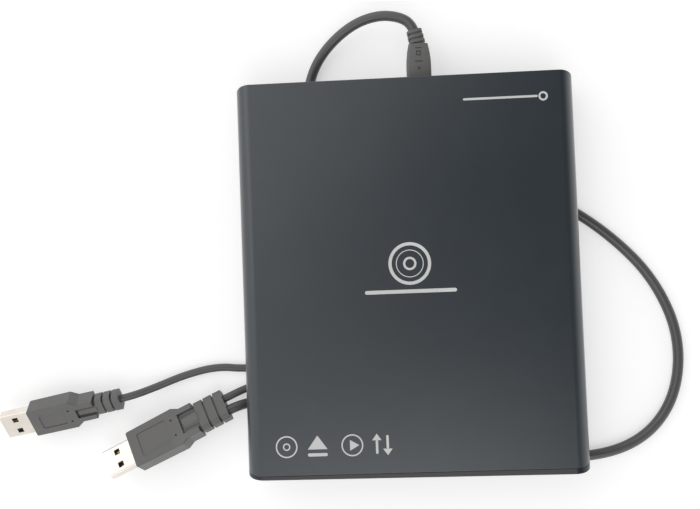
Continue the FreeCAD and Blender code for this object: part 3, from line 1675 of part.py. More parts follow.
MAIN_ROUTE = [
    (-1.9, 109.3, -1.1),
    (-9.4, 111.4, -2.6),
    (-20.0, 108.3, -5.2),
    (-30.5, 100.8, -8.6),
    (-37.9, 91.3, -10.9),
    (-41.0, 79.5, -11.1),
    (-36.0, 68.0, -11.1),
    (-20.0, 57.5, -11.1),
    (6.0, 49.5, -11.1),
    (36.0, 41.5, -11.1),
    (62.0, 30.5, -11.1),
    (84.0, 15.5, -11.1),
    (103.0, -5.0, -11.1),
    (112.8, -30.8, -11.1),
    (108.8, -57.6, -11.1),
    (92.0, -76.3, -11.1),
    (66.0, -77.9, -11.1),
    (38.0, -74.5, -11.1),
    (10.0, -67.0, -11.1),
    (-16.0, -57.5, -11.1),
    (-38.0, -51.0, -11.1),
    (-57.0, -49.0, -11.1),
    (-69.2, -51.6, -11.1),
]
POWER_ROUTE = [
    (-71.0, -45.4, -11.6),
    (-61.0, -42.6, -11.6),
    (-43.0, -42.0, -11.6),
    (-21.0, -47.0, -11.6),
    (0.0, -51.0, -11.6),
    (19.0, -50.0, -11.6),
    (37.0, -42.0, -11.6),
    (44.0, -25.0, -11.6),
    (36.5, -9.0, -11.6),
    (19.0, -3.5, -11.6),
    (-3.0, -7.0, -11.6),
    (-26.0, -15.5, -11.6),
    (-45.0, -27.0, -11.6),
    (-59.5, -36.2, -11.6),
    (-72.0, -37.5, -11.6),
    (-84.0, -36.1, -11.6),
    (-98.0, -39.1, -11.4),
    (-111.0, -44.0, -9.7),
]
# The two large plugs: where the relief's end lies, and the grip's sizes

DATA_PLUG = {"tip_angle": 205.2, "pitch": 4.5, "roll": 24.0, "at": (-80.1, -52.0, -7.84)}
POWER_PLUG = {"tip_angle": 190.7, "pitch": 1.5, "roll": -34.0, "at": (-125.2, -48.0, -6.7)}
DATA_GRIP = {
    "front": 16.2,
    "widest": 17.0,
    "height": 8.4,
    "block": 21.4,
    "shoulder": 3.1,
    "ledge": 5.5,
    "ledge_width": 13.8,
    "relief": 13.4,
    "relief_width": 13.4,
}
POWER_GRIP = {
    "front": 13.6,
    "widest": 14.0,
    "height": 8.0,
    "block": 18.2,
    "shoulder": 3.1,
    "ledge": 6.3,
    "ledge_width": 9.4,
    "relief": 11.0,
    "relief_width": 8.4,
}

def grip_axis(place_at, side, distances):
    """Points of a cord's route on the axis of its hole in a grip."""
    return [place_at.multVec(Vector(distance, side, 0)) for distance in distances]


def make_cable():
    """Both cords, the forked grip that they share and the power plug."""
    data_place = plug_place(**DATA_PLUG)
    power_place = plug_place(**POWER_PLUG)
    main_side = 2.8
    thin_side = -2.7
    holes = ((main_side, size("cord_radius")), (thin_side, size("thin_radius")))
    data_reach = plug_grip("data_plug_grip", DATA_GRIP, holes, data_place)
    plug_metal("data_plug", data_reach, data_place)
    power_reach = plug_grip("power_plug_grip", POWER_GRIP, ((0.0, size("thin_radius")),), power_place)
    plug_metal("power_plug", power_reach, power_place)
    leaving = [relief_place().multVec(Vector(0, distance, 0)) for distance in (RELIEF_HOLE, RELIEF_HOLE + 5.0)]
    arriving = grip_axis(data_place, main_side, (-3.4, HOLE_DEPTH))
    route = leaving + [Vector(*point) for point in MAIN_ROUTE] + arriving
    cord_tube("main_cord", size("cord_radius").number, route)
    leaving = grip_axis(data_place, thin_side, (HOLE_DEPTH, -3.0))
    arriving = grip_axis(power_place, 0.0, (-4.5, HOLE_DEPTH))
    route = leaving + [Vector(*point) for point in POWER_ROUTE] + arriving
    cord_tube("power_cord", size("thin_radius").number, route)


def build():
    make_top_cover()
    make_bottom_cover()
    make_front_frame()
    make_rear_panel()
    make_feet()
    make_case_screws()
    make_drive_screws()
    make_bridge_board()
    make_bridge_chips()
    make_sata_socket()
    make_usb_socket()
    make_drive_chassis()
    make_drive_lid()
    make_rails()
    make_drive_board()
    make_drive_chips()
    make_sata_plug()
    make_chassis_flex()
    make_ejector()
    make_disc_tray()
    make_tray_bezel()
    make_eject_button()
    make_indicator()
    make_tray_board()
    make_eject_switch()
    make_tray_flex()
    make_latch()
    make_traverse_frame()
    make_dampers()
    make_mechanism_cover()
    make_guide_rods()
    make_stepper()
    make_lead_screw()
    make_spindle_motor()
    make_turntable()
    make_hub_claws()
    make_grip_ring()
    make_pickup_sled()
    make_lens()
    make_mini_plug()
    make_cable()


def check_document():
    """Stops if anything failed, or if a cut removed nothing."""
    doc.recompute()
    for thing in doc.Objects:
        if "Invalid" in thing.State or "Error" in thing.State:
            raise RuntimeError(f"{thing.Name} ({thing.Label}) failed")
        before = thing.BaseFeature.Shape.Volume if getattr(thing, "BaseFeature", None) else 0.0
        if thing.TypeId == "PartDesign::Pad" and thing.Shape.Volume < before + 1e-4:
            raise RuntimeError(f"{thing.Name} in {thing.getParentGeoFeatureGroup().Label} adds nothing")
        if thing.TypeId == "PartDesign::Pocket" and thing.Shape.Volume > before - 1e-4:
            raise RuntimeError(f"{thing.Name} in {thing.getParentGeoFeatureGroup().Label} cuts nothing")
    for label, thing in subparts.items():
        if thing.Shape.isNull() or not thing.Shape.isValid():
            raise RuntimeError(f"{label} has no sound shape")
        if min(solid.Volume for solid in thing.Shape.Solids) < 0.05:
            raise RuntimeError(f"{label} has a stray sliver")


build()
check_document()
for label, thing in subparts.items():
    thing.Shape.exportStep(os.path.join("parts", f"{label}.step"))
print(len(subparts), "sub-parts written")
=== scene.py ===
"""Looks of a portable disc drive with a slide-out tray and its forked cable."""
import math

import bmesh
import bpy
from mathutils import Matrix, Vector


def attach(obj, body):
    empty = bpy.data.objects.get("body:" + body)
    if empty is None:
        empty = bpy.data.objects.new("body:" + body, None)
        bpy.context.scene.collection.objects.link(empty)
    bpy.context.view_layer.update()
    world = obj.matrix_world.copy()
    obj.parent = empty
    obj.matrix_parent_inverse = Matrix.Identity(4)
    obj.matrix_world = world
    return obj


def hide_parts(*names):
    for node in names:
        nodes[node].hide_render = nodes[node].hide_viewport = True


MM = 0.001

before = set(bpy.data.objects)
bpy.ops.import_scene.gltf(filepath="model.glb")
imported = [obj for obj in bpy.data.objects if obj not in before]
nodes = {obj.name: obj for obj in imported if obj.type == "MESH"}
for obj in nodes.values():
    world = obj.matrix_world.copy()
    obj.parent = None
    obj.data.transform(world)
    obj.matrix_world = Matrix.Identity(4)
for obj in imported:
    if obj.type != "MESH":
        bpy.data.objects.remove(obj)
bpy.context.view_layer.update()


# Camera, seen from almost straight above

camera_data = bpy.data.cameras.new("camera")
camera_data.lens = 42.86
camera_data.sensor_width = 36.0
camera = bpy.data.objects.new("camera", camera_data)
camera.location = (-8.4 * MM, -3.7 * MM, 346.8 * MM)
camera.rotation_euler = [math.radians(angle) for angle in (2.084, 2.744, -2.163)]
bpy.context.scene.collection.objects.link(camera)
bpy.context.scene.camera = camera


# Routes of the two cords, the points of their solids but for a few at the rear and the front right

MAIN_DIAMETER = 4.3
THIN_DIAMETER = 3.3
DATA_PLUG = {"tip_angle": 205.2, "pitch": 4.5, "roll": 24.0, "at": (-80.1, -52.0, -7.84)}
POWER_PLUG = {"tip_angle": 190.7, "pitch": 1.5, "roll": -34.0, "at": (-125.2, -48.0, -6.7)}
MINI_AT = (7.2, 96.1, -0.6)
MAIN_SIDE = 2.8
THIN_SIDE = -2.7
HOLE_DEPTH = 2.0

# The small plug's relief leans; the cord starts this deep in it and runs straight for a while

RELIEF_LEAN = 12.0
RELIEF_HOLE = 4.8
RELIEF_LEAD = 4.2

# How far behind each large grip its cord runs straight

MAIN_LEAD = 3.4
THIN_LEAD = 3.0
POWER_LEAD = 4.5

MAIN_ROUTE = [
    (0.2, 108.9, -1.1),
    (-9.2, 110.6, -2.6),
    (-20.0, 108.0, -5.2),
    (-30.5, 100.8, -8.6),
    (-37.9, 91.3, -10.9),
    (-41.0, 79.5, -11.1),
    (-36.0, 68.0, -11.1),
    (-20.0, 57.5, -11.1),
    (6.0, 49.5, -11.1),
    (36.0, 41.5, -11.1),
    (62.0, 30.5, -11.1),
    (84.0, 15.5, -11.1),
    (103.0, -5.0, -11.1),
    (112.8, -30.8, -11.1),
    (108.8, -57.6, -11.1),
    (92.0, -75.2, -11.1),
    (64.0, -80.2, -11.1),
    (39.0, -75.0, -11.1),
    (10.0, -67.0, -11.1),
    (-16.0, -57.5, -11.1),
    (-38.0, -51.0, -11.1),
    (-57.0, -49.0, -11.1),
    (-69.2, -51.6, -11.1),
]
POWER_ROUTE = [
    (-71.0, -45.4, -11.6),
    (-61.0, -42.6, -11.6),
    (-43.0, -42.0, -11.6),
    (-21.0, -47.0, -11.6),
    (0.0, -51.0, -11.6),
    (19.0, -50.0, -11.6),
    (37.0, -42.0, -11.6),
    (44.0, -25.0, -11.6),
    (36.5, -9.0, -11.6),
    (19.0, -3.5, -11.6),
    (-3.0, -7.0, -11.6),
    (-26.0, -15.5, -11.6),
    (-45.0, -27.0, -11.6),
    (-59.5, -36.2, -11.6),
    (-72.0, -37.5, -11.6),
    (-84.0, -36.1, -11.6),
    (-98.0, -39.1, -11.4),
    (-111.0, -44.0, -9.7),
]


def plug_matrix(tip_angle, pitch, roll, at):
    """Own axes of a plug: the shell points along +X from the grip's rear end."""
    turn = Matrix.Rotation(math.radians(tip_angle), 4, "Z")
    nod = Matrix.Rotation(math.radians(-pitch), 4, "Y")
    lean = Matrix.Rotation(math.radians(roll), 4, "X")
    return Matrix.Translation(Vector(at)) @ turn @ nod @ lean


def along(matrix, side, distances):
    """Route points on the axis of a cord's hole in a grip."""
    return [matrix @ Vector((distance, side, 0.0)) for distance in distances]


def lay_cord(name, route, diameter):
    """One smooth line through the route's control points, with the sheath round it."""
    data = bpy.data.curves.new(name, "CURVE")
    data.dimensions = "3D"
    spline = data.splines.new("NURBS")
    spline.points.add(len(route) - 1)
    for point, place in zip(spline.points, route):
        point.co = (*(Vector(place) * MM), 1.0)
    spline.order_u = 3
    spline.use_endpoint_u = True
    spline.resolution_u = 16
    data.bevel_depth = diameter * MM / 2
    data.bevel_resolution = 7
    data.use_fill_caps = True
    cord = bpy.data.objects.new(name, data)
    bpy.context.scene.collection.objects.link(cord)
    return cord


relief_axis = Matrix.Translation(Vector(MINI_AT)) @ Matrix.Rotation(math.radians(RELIEF_LEAN), 4, "Z")
data_axis = plug_matrix(**DATA_PLUG)
power_axis = plug_matrix(**POWER_PLUG)
relief_reaches = (RELIEF_HOLE, RELIEF_HOLE + RELIEF_LEAD)
main_route = [relief_axis @ Vector((0.0, reach, 0.0)) for reach in relief_reaches]
main_route += MAIN_ROUTE + along(data_axis, MAIN_SIDE, (-MAIN_LEAD, HOLE_DEPTH))
power_route = along(data_axis, THIN_SIDE, (HOLE_DEPTH, -THIN_LEAD))
power_route += POWER_ROUTE + along(power_axis, 0.0, (-POWER_LEAD, HOLE_DEPTH))
main_cord = lay_cord("main_sheath", main_route, MAIN_DIAMETER)
power_cord = lay_cord("power_sheath", power_route, THIN_DIAMETER)


# Tools for new pieces

SHARP_ANGLE = 35.0
SOFTEN_ANGLE = 40.0


def edges_along(bm, axis, near=None):
    """Edges that run along one axis; near picks those whose middle it accepts."""
    found = []
    for edge in bm.edges:
        run = edge.verts[1].co - edge.verts[0].co
        middle = (edge.verts[0].co + edge.verts[1].co) / 2
        if abs(run[axis]) > 0.999 * run.length and (near is None or near(middle)):
            found.append(edge)
    return found


def delete_faces(bm, unwanted):
    """Takes out the faces whose centre unwanted accepts."""
    faces = [face for face in bm.faces if unwanted(face.calc_center_median(), face.normal)]
    bmesh.ops.delete(bm, geom=faces, context="FACES")


def cut_across(bm, axis, places):
    """Cuts every face where the axis reaches one of the places."""
    normal = [0.0, 0.0, 0.0]
    normal[axis] = 1.0
    for place in places:
        spot = [value * place for value in normal]
        geom = bm.verts[:] + bm.edges[:] + bm.faces[:]
        bmesh.ops.bisect_plane(bm, geom=geom, plane_co=spot, plane_no=normal, dist=1e-6)


def rounded(bm, edges, radius, steps):
    bmesh.ops.bevel(
        bm, geom=edges, offset=radius, segments=steps, profile=0.5, affect="EDGES", material=-1
    )


def box_of(bm, low, high):
    """A box between two corners, in millimetres."""
    made = bmesh.ops.create_cube(bm, size=1.0)["verts"]
    bmesh.ops.scale(bm, vec=[b - a for a, b in zip(low, high)], verts=made)
    bmesh.ops.translate(bm, vec=[(a + b) / 2 for a, b in zip(low, high)], verts=made)


def rounded_plate(bm, left, right, low, high, low_round, high_round, steps=10):
    """A face in the XZ plane with its corners rounded."""
    made = bmesh.ops.create_grid(bm, x_segments=1, y_segments=1, size=0.5)["verts"]
    bmesh.ops.rotate(bm, verts=made, matrix=Matrix.Rotation(math.pi / 2, 3, "X"))
    bmesh.ops.scale(bm, verts=made, vec=(right - left, 1.0, high - low))
    bmesh.ops.translate(bm, verts=made, vec=((left + right) / 2, 0.0, (low + high) / 2))
    middle = (low + high) / 2
    for corners, radius in (
        ([vert for vert in made if vert.co.z < middle], low_round),
        ([vert for vert in made if vert.co.z > middle], high_round),
    ):
        bmesh.ops.bevel(
            bm, geom=corners, offset=radius, segments=steps, profile=0.5, affect="VERTICES", material=-1
        )


def extrude(bm, faces, step):
    """Extrudes the faces by the step and gives the new ones at its end."""
    grown = bmesh.ops.extrude_face_region(bm, geom=faces)["geom"]
    moved = [item for item in grown if isinstance(item, bmesh.types.BMVert)]
    bmesh.ops.translate(bm, verts=moved, vec=step)
    return [item for item in grown if isinstance(item, bmesh.types.BMFace)]


def frame_between(outer, inner, front, depth):
    """A frame between two rounded outlines, each as rounded_plate takes it, from front backwards."""
    bm = bmesh.new()
    rounded_plate(bm, *outer)
    rounded_plate(bm, *inner)
    bmesh.ops.delete(bm, geom=bm.faces[:], context="FACES_ONLY")
    between = bmesh.ops.bridge_loops(bm, edges=bm.edges[:])["faces"]
    extrude(bm, between, (0.0, depth, 0.0))
    bmesh.ops.translate(bm, verts=bm.verts, vec=(0.0, front, 0.0))
    return bm


def slab(bm, half, rise, corner, start, end):
    """A rounded slab from start to end along Y; gives its end face."""
    before = set(bm.faces)
    rounded_plate(bm, -half, half, -rise, rise, corner, corner, 5)
    flat = [face for face in bm.faces if face not in before]
    last = extrude(bm, flat, (0.0, end - start, 0.0))[0]
    made = {vert for face in bm.faces if face not in before for vert in face.verts}
    bmesh.ops.translate(bm, verts=list(made), vec=(0.0, start, 0.0))
    return last


def join(bm, other):
    """Adds the other mesh and frees it."""
    loose = bpy.data.meshes.new("loose")
    other.to_mesh(loose)
    other.free()
    bm.from_mesh(loose)
    bpy.data.meshes.remove(loose)


def finish_piece(name, bm, body, replaced=()):
    """Makes a piece of the mesh, drawn in millimetres, and hangs it on its body."""
    bmesh.ops.remove_doubles(bm, verts=bm.verts, dist=1e-4)
    bmesh.ops.recalc_face_normals(bm, faces=bm.faces)
    bmesh.ops.scale(bm, vec=(MM, MM, MM), verts=bm.verts)
    mesh = bpy.data.meshes.new(name)
    bm.to_mesh(mesh)
    bm.free()
    mesh.shade_smooth()
    mesh.set_sharp_from_angle(angle=math.radians(SHARP_ANGLE))
    made = bpy.data.objects.new(name, mesh)
    bpy.context.scene.collection.objects.link(made)
    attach(made, body)
    if replaced:
        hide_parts(*replaced)
    return made


def wall(made, thickness):
    """Gives a skin its wall, inwards."""
    modifier = made.modifiers.new("wall", "SOLIDIFY")
    modifier.thickness = thickness * MM
    modifier.offset = -1.0
    modifier.use_even_offset = True


def soften(made, width, steps=2):
    """Rounds the piece's sharp edges a little."""
    modifier = made.modifiers.new("soft edges", "BEVEL")
    modifier.width = width * MM
    modifier.segments = steps
    modifier.limit_method = "ANGLE"
    modifier.angle_limit = math.radians(SOFTEN_ANGLE)
    modifier.harden_normals = True


# Effects that several finishes share, as node groups

class Tree:
    """Adds nodes and links to self.tree."""

    def node(self, kind, **settings):
        made = self.tree.nodes.new(kind)
        for key, value in settings.items():
            setattr(made, key, value)
        return made

    def link(self, source, target):
        self.tree.links.new(source, target)


class Group(Tree):
    """A node group with named inputs and outputs."""

    def __init__(self, name, inputs, outputs):
        self.tree = bpy.data.node_groups.new(name, "ShaderNodeTree")
        for label, kind, value in inputs:
            socket = self.tree.interface.new_socket(label, in_out="INPUT", socket_type=kind)
            if value is not None:
                socket.default_value = value
        for label, kind in outputs:
            self.tree.interface.new_socket(label, in_out="OUTPUT", socket_type=kind)
        self.entry = self.tree.nodes.new("NodeGroupInput")
        self.leave = self.tree.nodes.new("NodeGroupOutput")

    def noise(self, vector, scale, detail, roughness):
        """A noise texture: scale is a number or a socket."""
        made = self.node("ShaderNodeTexNoise")
        self.link(vector, made.inputs["Vector"])
        if isinstance(scale, (int, float)):
            made.inputs["Scale"].default_value = scale
        else:
            self.link(scale, made.inputs["Scale"])
        made.inputs["Detail"].default_value = detail
        made.inputs["Roughness"].default_value = roughness
        return made.outputs["Fac"]

    def math(self, operation, first, second):
        """One operation on two values, each a number or a socket."""
        made = self.node("ShaderNodeMath", operation=operation)
        for slot, value in enumerate((first, second)):
            if isinstance(value, (int, float)):
                made.inputs[slot].default_value = value
            else:
                self.link(value, made.inputs[slot])
        return made.outputs[0]

    def between(self, value, low, high, to_low=0.0, to_high=1.0):
        """Maps low..high to to_low..to_high, held at the ends."""
        made = self.node("ShaderNodeMapRange")
        self.link(value, made.inputs["Value"])
        made.inputs["From Min"].default_value = low
        made.inputs["From Max"].default_value = high
        made.inputs["To Min"].default_value = to_low
        made.inputs["To Max"].default_value = to_high
        return made.outputs["Result"]

    def stretch(self, vector, scale):
        made = self.node("ShaderNodeMapping")
        self.link(vector, made.inputs["Vector"])
        made.inputs["Scale"].default_value = scale
        return made.outputs["Vector"]


def make_moulded_grain():
    """The pebbled skin of moulded plastic: height and a slight change of tone."""
    group = Group(
        "moulded grain",
        [("Place", "NodeSocketVector", None), ("Scale", "NodeSocketFloat", 2600.0)],
        [("Height", "NodeSocketFloat"), ("Tone", "NodeSocketFloat")],
    )
    place = group.entry.outputs["Place"]
    fine = group.noise(place, group.entry.outputs["Scale"], 3.0, 0.6)
    broad = group.noise(place, 55.0, 3.0, 0.55)
    pebbles = group.node("ShaderNodeTexVoronoi", feature="SMOOTH_F1")
    group.link(place, pebbles.inputs["Vector"])
    group.link(group.math("MULTIPLY", group.entry.outputs["Scale"], 0.6), pebbles.inputs["Scale"])
    fine_part = group.math("MULTIPLY", fine, 0.6)
    pebble_part = group.math("MULTIPLY", pebbles.outputs["Distance"], 0.7)
    group.link(group.math("ADD", fine_part, pebble_part), group.leave.inputs["Height"])
    group.link(group.between(broad, 0.3, 0.7, -1.0, 1.0), group.leave.inputs["Tone"])
    return group.tree


def make_handling():
    """Faint smudges and hair scratches from use."""
    group = Group(
        "handling marks",
        [("Place", "NodeSocketVector", None)],
        [("Smudge", "NodeSocketFloat"), ("Scratch", "NodeSocketFloat")],
    )
    place = group.entry.outputs["Place"]
    smudge = group.between(group.noise(place, 22.0, 4.0, 0.6), 0.45, 0.75)
    scratch = None
    for turn, length in ((0.5, 60.0), (-0.9, 45.0), (1.9, 75.0)):
        turned = group.node("ShaderNodeMapping")
        group.link(place, turned.inputs["Vector"])
        turned.inputs["Rotation"].default_value = (0.0, 0.0, turn)
        turned.inputs["Scale"].default_value = (length, 1400.0, length)
        lines = group.noise(turned.outputs["Vector"], 1.0, 1.0, 0.4)
        thin = group.between(lines, 0.76, 0.79)
        scratch = thin if scratch is None else group.math("MAXIMUM", scratch, thin)
    group.link(smudge, group.leave.inputs["Smudge"])
    group.link(scratch, group.leave.inputs["Scratch"])
    return group.tree


def make_dust():
    """Specks of dust and lint."""
    group = Group(
        "dust",
        [("Place", "NodeSocketVector", None), ("Amount", "NodeSocketFloat", 0.3)],
        [("Mask", "NodeSocketFloat")],
    )
    place = group.entry.outputs["Place"]
    cells = group.node("ShaderNodeTexVoronoi", feature="F1")
    group.link(place, cells.inputs["Vector"])
    cells.inputs["Scale"].default_value = 420.0
    speck = group.between(cells.outputs["Distance"], 0.05, 0.11, 1.0, 0.0)
    patch = group.between(group.noise(place, 60.0, 3.0, 0.6), 0.5, 0.62)
    mask = group.math("MULTIPLY", group.math("MULTIPLY", speck, patch), group.entry.outputs["Amount"])
    group.link(mask, group.leave.inputs["Mask"])
    return group.tree


def make_rolled_sheet():
    """Fine lines of rolled and plated sheet, with soft clouds."""
    group = Group(
        "rolled sheet",
        [("Place", "NodeSocketVector", None)],
        [("Lines", "NodeSocketFloat"), ("Clouds", "NodeSocketFloat")],
    )
    place = group.entry.outputs["Place"]
    lines = group.noise(group.stretch(place, (40.0, 2400.0, 400.0)), 1.0, 3.0, 0.6)
    clouds = group.node("ShaderNodeTexVoronoi", feature="F1")
    group.link(place, clouds.inputs["Vector"])
    clouds.inputs["Scale"].default_value = 190.0
    group.link(group.between(lines, 0.3, 0.7), group.leave.inputs["Lines"])
    spread = group.node("ShaderNodeSeparateColor")
    group.link(clouds.outputs["Color"], spread.inputs["Color"])
    group.link(spread.outputs["Red"], group.leave.inputs["Clouds"])
    return group.tree


GRAIN = make_moulded_grain()
HANDLING = make_handling()
DUST = make_dust()
SHEET = make_rolled_sheet()


# Finishes

class Finish(Tree):
    """A material with one Principled BSDF and its textures on Object coordinates."""

    def __init__(self, name, color, roughness, metallic=0.0, **sockets):
        self.material = bpy.data.materials.new(name)
        self.material.use_nodes = True
        self.tree = self.material.node_tree
        self.shader = self.tree.nodes["Principled BSDF"]
        self.color = (*color, 1.0)
        self.roughness = roughness
        self.shader.inputs["Base Color"].default_value = self.color
        self.shader.inputs["Roughness"].default_value = roughness
        self.shader.inputs["Metallic"].default_value = metallic
        for label, value in sockets.items():
            self.shader.inputs[label.replace("_", " ")].default_value = value
        self.place = self.tree.nodes.new("ShaderNodeTexCoord").outputs["Object"]
        self.last_color = None
        self.last_roughness = None
        self.last_height = None

    def effect(self, group, **values):
        """Puts a shared effect on the piece's own coordinates; gives its outputs."""
        made = self.node("ShaderNodeGroup", node_tree=group)
        self.link(self.place, made.inputs["Place"])
        for label, value in values.items():
            made.inputs[label].default_value = value
        return made.outputs

    def tint(self, mask, color, strength=1.0):
        """Mixes a colour in where the mask is high."""
        amount = self.node("ShaderNodeMath", operation="MULTIPLY", use_clamp=True)
        self.link(mask, amount.inputs[0])
        amount.inputs[1].default_value = strength
        mix = self.node("ShaderNodeMix", data_type="RGBA")
        self.link(amount.outputs[0], mix.inputs["Factor"])
        if self.last_color is None:
            mix.inputs[6].default_value = self.color
        else:
            self.link(self.last_color, mix.inputs[6])
        mix.inputs[7].default_value = (*color, 1.0)
        self.last_color = mix.outputs[2]
        self.link(self.last_color, self.shader.inputs["Base Color"])

    def roughen(self, mask, change):
        """Adds change times the mask to the roughness."""
        made = self.node("ShaderNodeMath", operation="MULTIPLY_ADD", use_clamp=True)
        self.link(mask, made.inputs[0])
        made.inputs[1].default_value = change
        if self.last_roughness is None:
            made.inputs[2].default_value = self.roughness
        else:
            self.link(self.last_roughness, made.inputs[2])
        self.last_roughness = made.outputs[0]
        self.link(self.last_roughness, self.shader.inputs["Roughness"])

    def raise_by(self, mask, height):
        """Adds height times the mask, in metres, to the bump."""
        made = self.node("ShaderNodeMath", operation="MULTIPLY_ADD")
        self.link(mask, made.inputs[0])
        made.inputs[1].default_value = height
        made.inputs[2].default_value = 0.0
        if self.last_height is not None:
            self.link(self.last_height, made.inputs[2])
        self.last_height = made.outputs[0]

    def bump(self):
        """Turns the heights so far into the shader's normal."""
        made = self.node("ShaderNodeBump")
        made.inputs["Strength"].default_value = 1.0
        made.inputs["Distance"].default_value = 1.0
        self.link(self.last_height, made.inputs["Height"])
        self.link(made.outputs["Normal"], self.shader.inputs["Normal"])


DUST_TINT = (0.30, 0.29, 0.28)


def moulded(name, color, roughness, grain_scale, grain_height, dust, **sockets):
    """Moulded plastic or rubber with a pebbled skin, handling marks and dust."""
    made = Finish(name, color, roughness, **sockets)
    grain = made.effect(GRAIN, Scale=grain_scale)
    marks = made.effect(HANDLING)
    specks = made.effect(DUST, Amount=dust)
    lighter = [min(1.0, value * 1.35 + 0.004) for value in color]
    made.tint(grain["Tone"], lighter, 0.35)
    made.tint(marks["Scratch"], [value * 1.6 + 0.02 for value in color], 0.25)
    made.tint(specks["Mask"], DUST_TINT)
    made.roughen(marks["Smudge"], -0.06)
    made.roughen(marks["Scratch"], 0.08)
    made.raise_by(grain["Height"], grain_height)
    made.bump()
    return made


def plated(name, color, roughness, line_height=1.5e-6, **sockets):
    """Rolled or plated metal: fine lines, soft clouds and slight stains."""
    made = Finish(name, color, roughness, 1.0, **sockets)
    sheet = made.effect(SHEET)
    marks = made.effect(HANDLING)
    made.tint(sheet["Clouds"], [value * 0.86 for value in color], 0.55)
    made.tint(marks["Smudge"], [value * 0.8 for value in color], 0.3)
    made.roughen(sheet["Lines"], min(0.1, line_height * 6.7e4))
    made.roughen(marks["Smudge"], 0.08)
    made.raise_by(sheet["Lines"], line_height)
    made.bump()
    return made


cover_satin = moulded(
    "cover satin", (0.006, 0.014, 0.022), 0.42, 3200.0, 1.2e-6, 0.02,
    Coat_Weight=1.0, Coat_Roughness=0.3, Coat_IOR=1.6,
)
base_black = moulded("base black", (0.022, 0.022, 0.024), 0.5, 2000.0, 7e-6, 0.06)
front_gloss = moulded(
    "front gloss", (0.010, 0.010, 0.012), 0.24, 900.0, 2e-7, 0.05, Coat_Weight=0.35, Coat_Roughness=0.1
)
foot_rubber = moulded("foot rubber", (0.025, 0.025, 0.026), 0.75, 2400.0, 8e-6, 0.25)
inner_nylon = moulded("inner nylon", (0.028, 0.028, 0.030), 0.48, 1800.0, 4e-6, 0.1)
tray_texture = moulded("tray texture", (0.030, 0.031, 0.033), 0.55, 2600.0, 9e-6, 0.15)
hub_black = moulded("hub black", (0.040, 0.040, 0.042), 0.4, 2600.0, 3e-6, 0.1)
chip_epoxy = moulded("chip epoxy", (0.020, 0.020, 0.021), 0.6, 4200.0, 3e-6, 0.1)
cord_vinyl = moulded(
    "cord vinyl", (0.070, 0.068, 0.069), 0.38, 1500.0, 3e-6, 0.06, Coat_Weight=0.4, Coat_Roughness=0.3
)
plug_vinyl = moulded("plug vinyl", (0.128, 0.125, 0.123), 0.44, 2200.0, 4e-6, 0.04)
insert_black = moulded("insert black", (0.05, 0.05, 0.052), 0.45, 2600.0, 2e-6, 0.05)
sheet_steel = plated("sheet steel", (0.55, 0.56, 0.57), 0.32)
screw_steel = plated("screw steel", (0.42, 0.42, 0.43), 0.28)
motor_steel = plated("motor steel", (0.50, 0.50, 0.52), 0.3)
rod_steel = plated("rod steel", (0.66, 0.66, 0.68), 0.12)
tin_shell = plated("tin shell", (0.62, 0.61, 0.58), 0.22)
plug_nickel = plated("plug nickel", (0.86, 0.80, 0.73), 0.26, 2e-7)
sled_alloy = plated("sled alloy", (0.48, 0.49, 0.50), 0.42)
contact_gold = plated("contact gold", (0.83, 0.60, 0.26), 0.2)
board_green = moulded("board green", (0.012, 0.11, 0.045), 0.3, 1200.0, 2e-6, 0.1)
flex_amber = moulded("flex amber", (0.42, 0.19, 0.035), 0.3, 900.0, 1e-6, 0.05)
light_guide = moulded("light guide", (0.42, 0.50, 0.42), 0.25, 900.0, 5e-7, 0.1)
lens_glass = Finish(
    "lens glass", (0.55, 0.68, 0.95), 0.03, Transmission_Weight=0.85, IOR=1.5, Coat_Weight=0.5
)
lens_marks = lens_glass.effect(HANDLING)
lens_glass.tint(lens_marks["Smudge"], (0.44, 0.50, 0.86), 0.6)
lens_glass.roughen(lens_marks["Smudge"], 0.05)
lens_glass.roughen(lens_glass.effect(DUST, Amount=0.5)["Mask"], 0.4)
sign_vinyl = moulded("sign vinyl", (0.045, 0.044, 0.044), 0.5, 2200.0, 3e-6, 0.0)
print_ink = moulded("print ink", (0.60, 0.61, 0.60), 0.6, 3200.0, 1e-6, 0.0)

DRESSED = {
    base_black: ["bottom_cover", "rear_panel"],
    front_gloss: ["tray_bezel", "eject_button"],
    foot_rubber: ["rubber_feet", "grip_ring", "traverse_dampers"],
    inner_nylon: [
        "fixed_rail_right", "fixed_rail_left", "ejector_pin", "latch_hook",
        "sata_socket", "sata_plug", "lens_holder",
    ],
    tray_texture: ["disc_tray"],
    hub_black: ["turntable", "hub_claws"],
    chip_epoxy: ["bridge_chips", "drive_chips", "eject_switch"],
    insert_black: ["data_plug_tongue", "power_plug_tongue"],
    sheet_steel: [
        "drive_chassis", "drive_lid", "traverse_frame", "mechanism_cover",
        "sliding_rail_right", "sliding_rail_left",
    ],
    screw_steel: ["case_screws", "drive_screws", "damper_screws", "ejector_spring"],
    motor_steel: ["sled_motor", "spindle_motor", "latch_solenoid"],
    rod_steel: ["guide_rods", "lead_screw"],
    tin_shell: ["usb_socket"],
    plug_nickel: ["mini_plug_shell"],
    sled_alloy: ["pickup_sled"],
    contact_gold: ["data_plug_contacts", "power_plug_contacts"],
    board_green: ["bridge_board", "drive_board", "tray_board"],
    flex_amber: ["chassis_flex", "tray_flex"],
    light_guide: ["indicator_lens"],
    lens_glass: ["objective_lens"],
    plug_vinyl: ["data_plug_grip", "power_plug_grip"],
}


def coat(piece, finish):
    piece.data.materials.clear()
    piece.data.materials.append(finish.material)


for finish, names in DRESSED.items():
    for name in names:
        coat(nodes[name], finish)
coat(main_cord, cord_vinyl)
coat(power_cord, cord_vinyl)


# The casing's own pieces

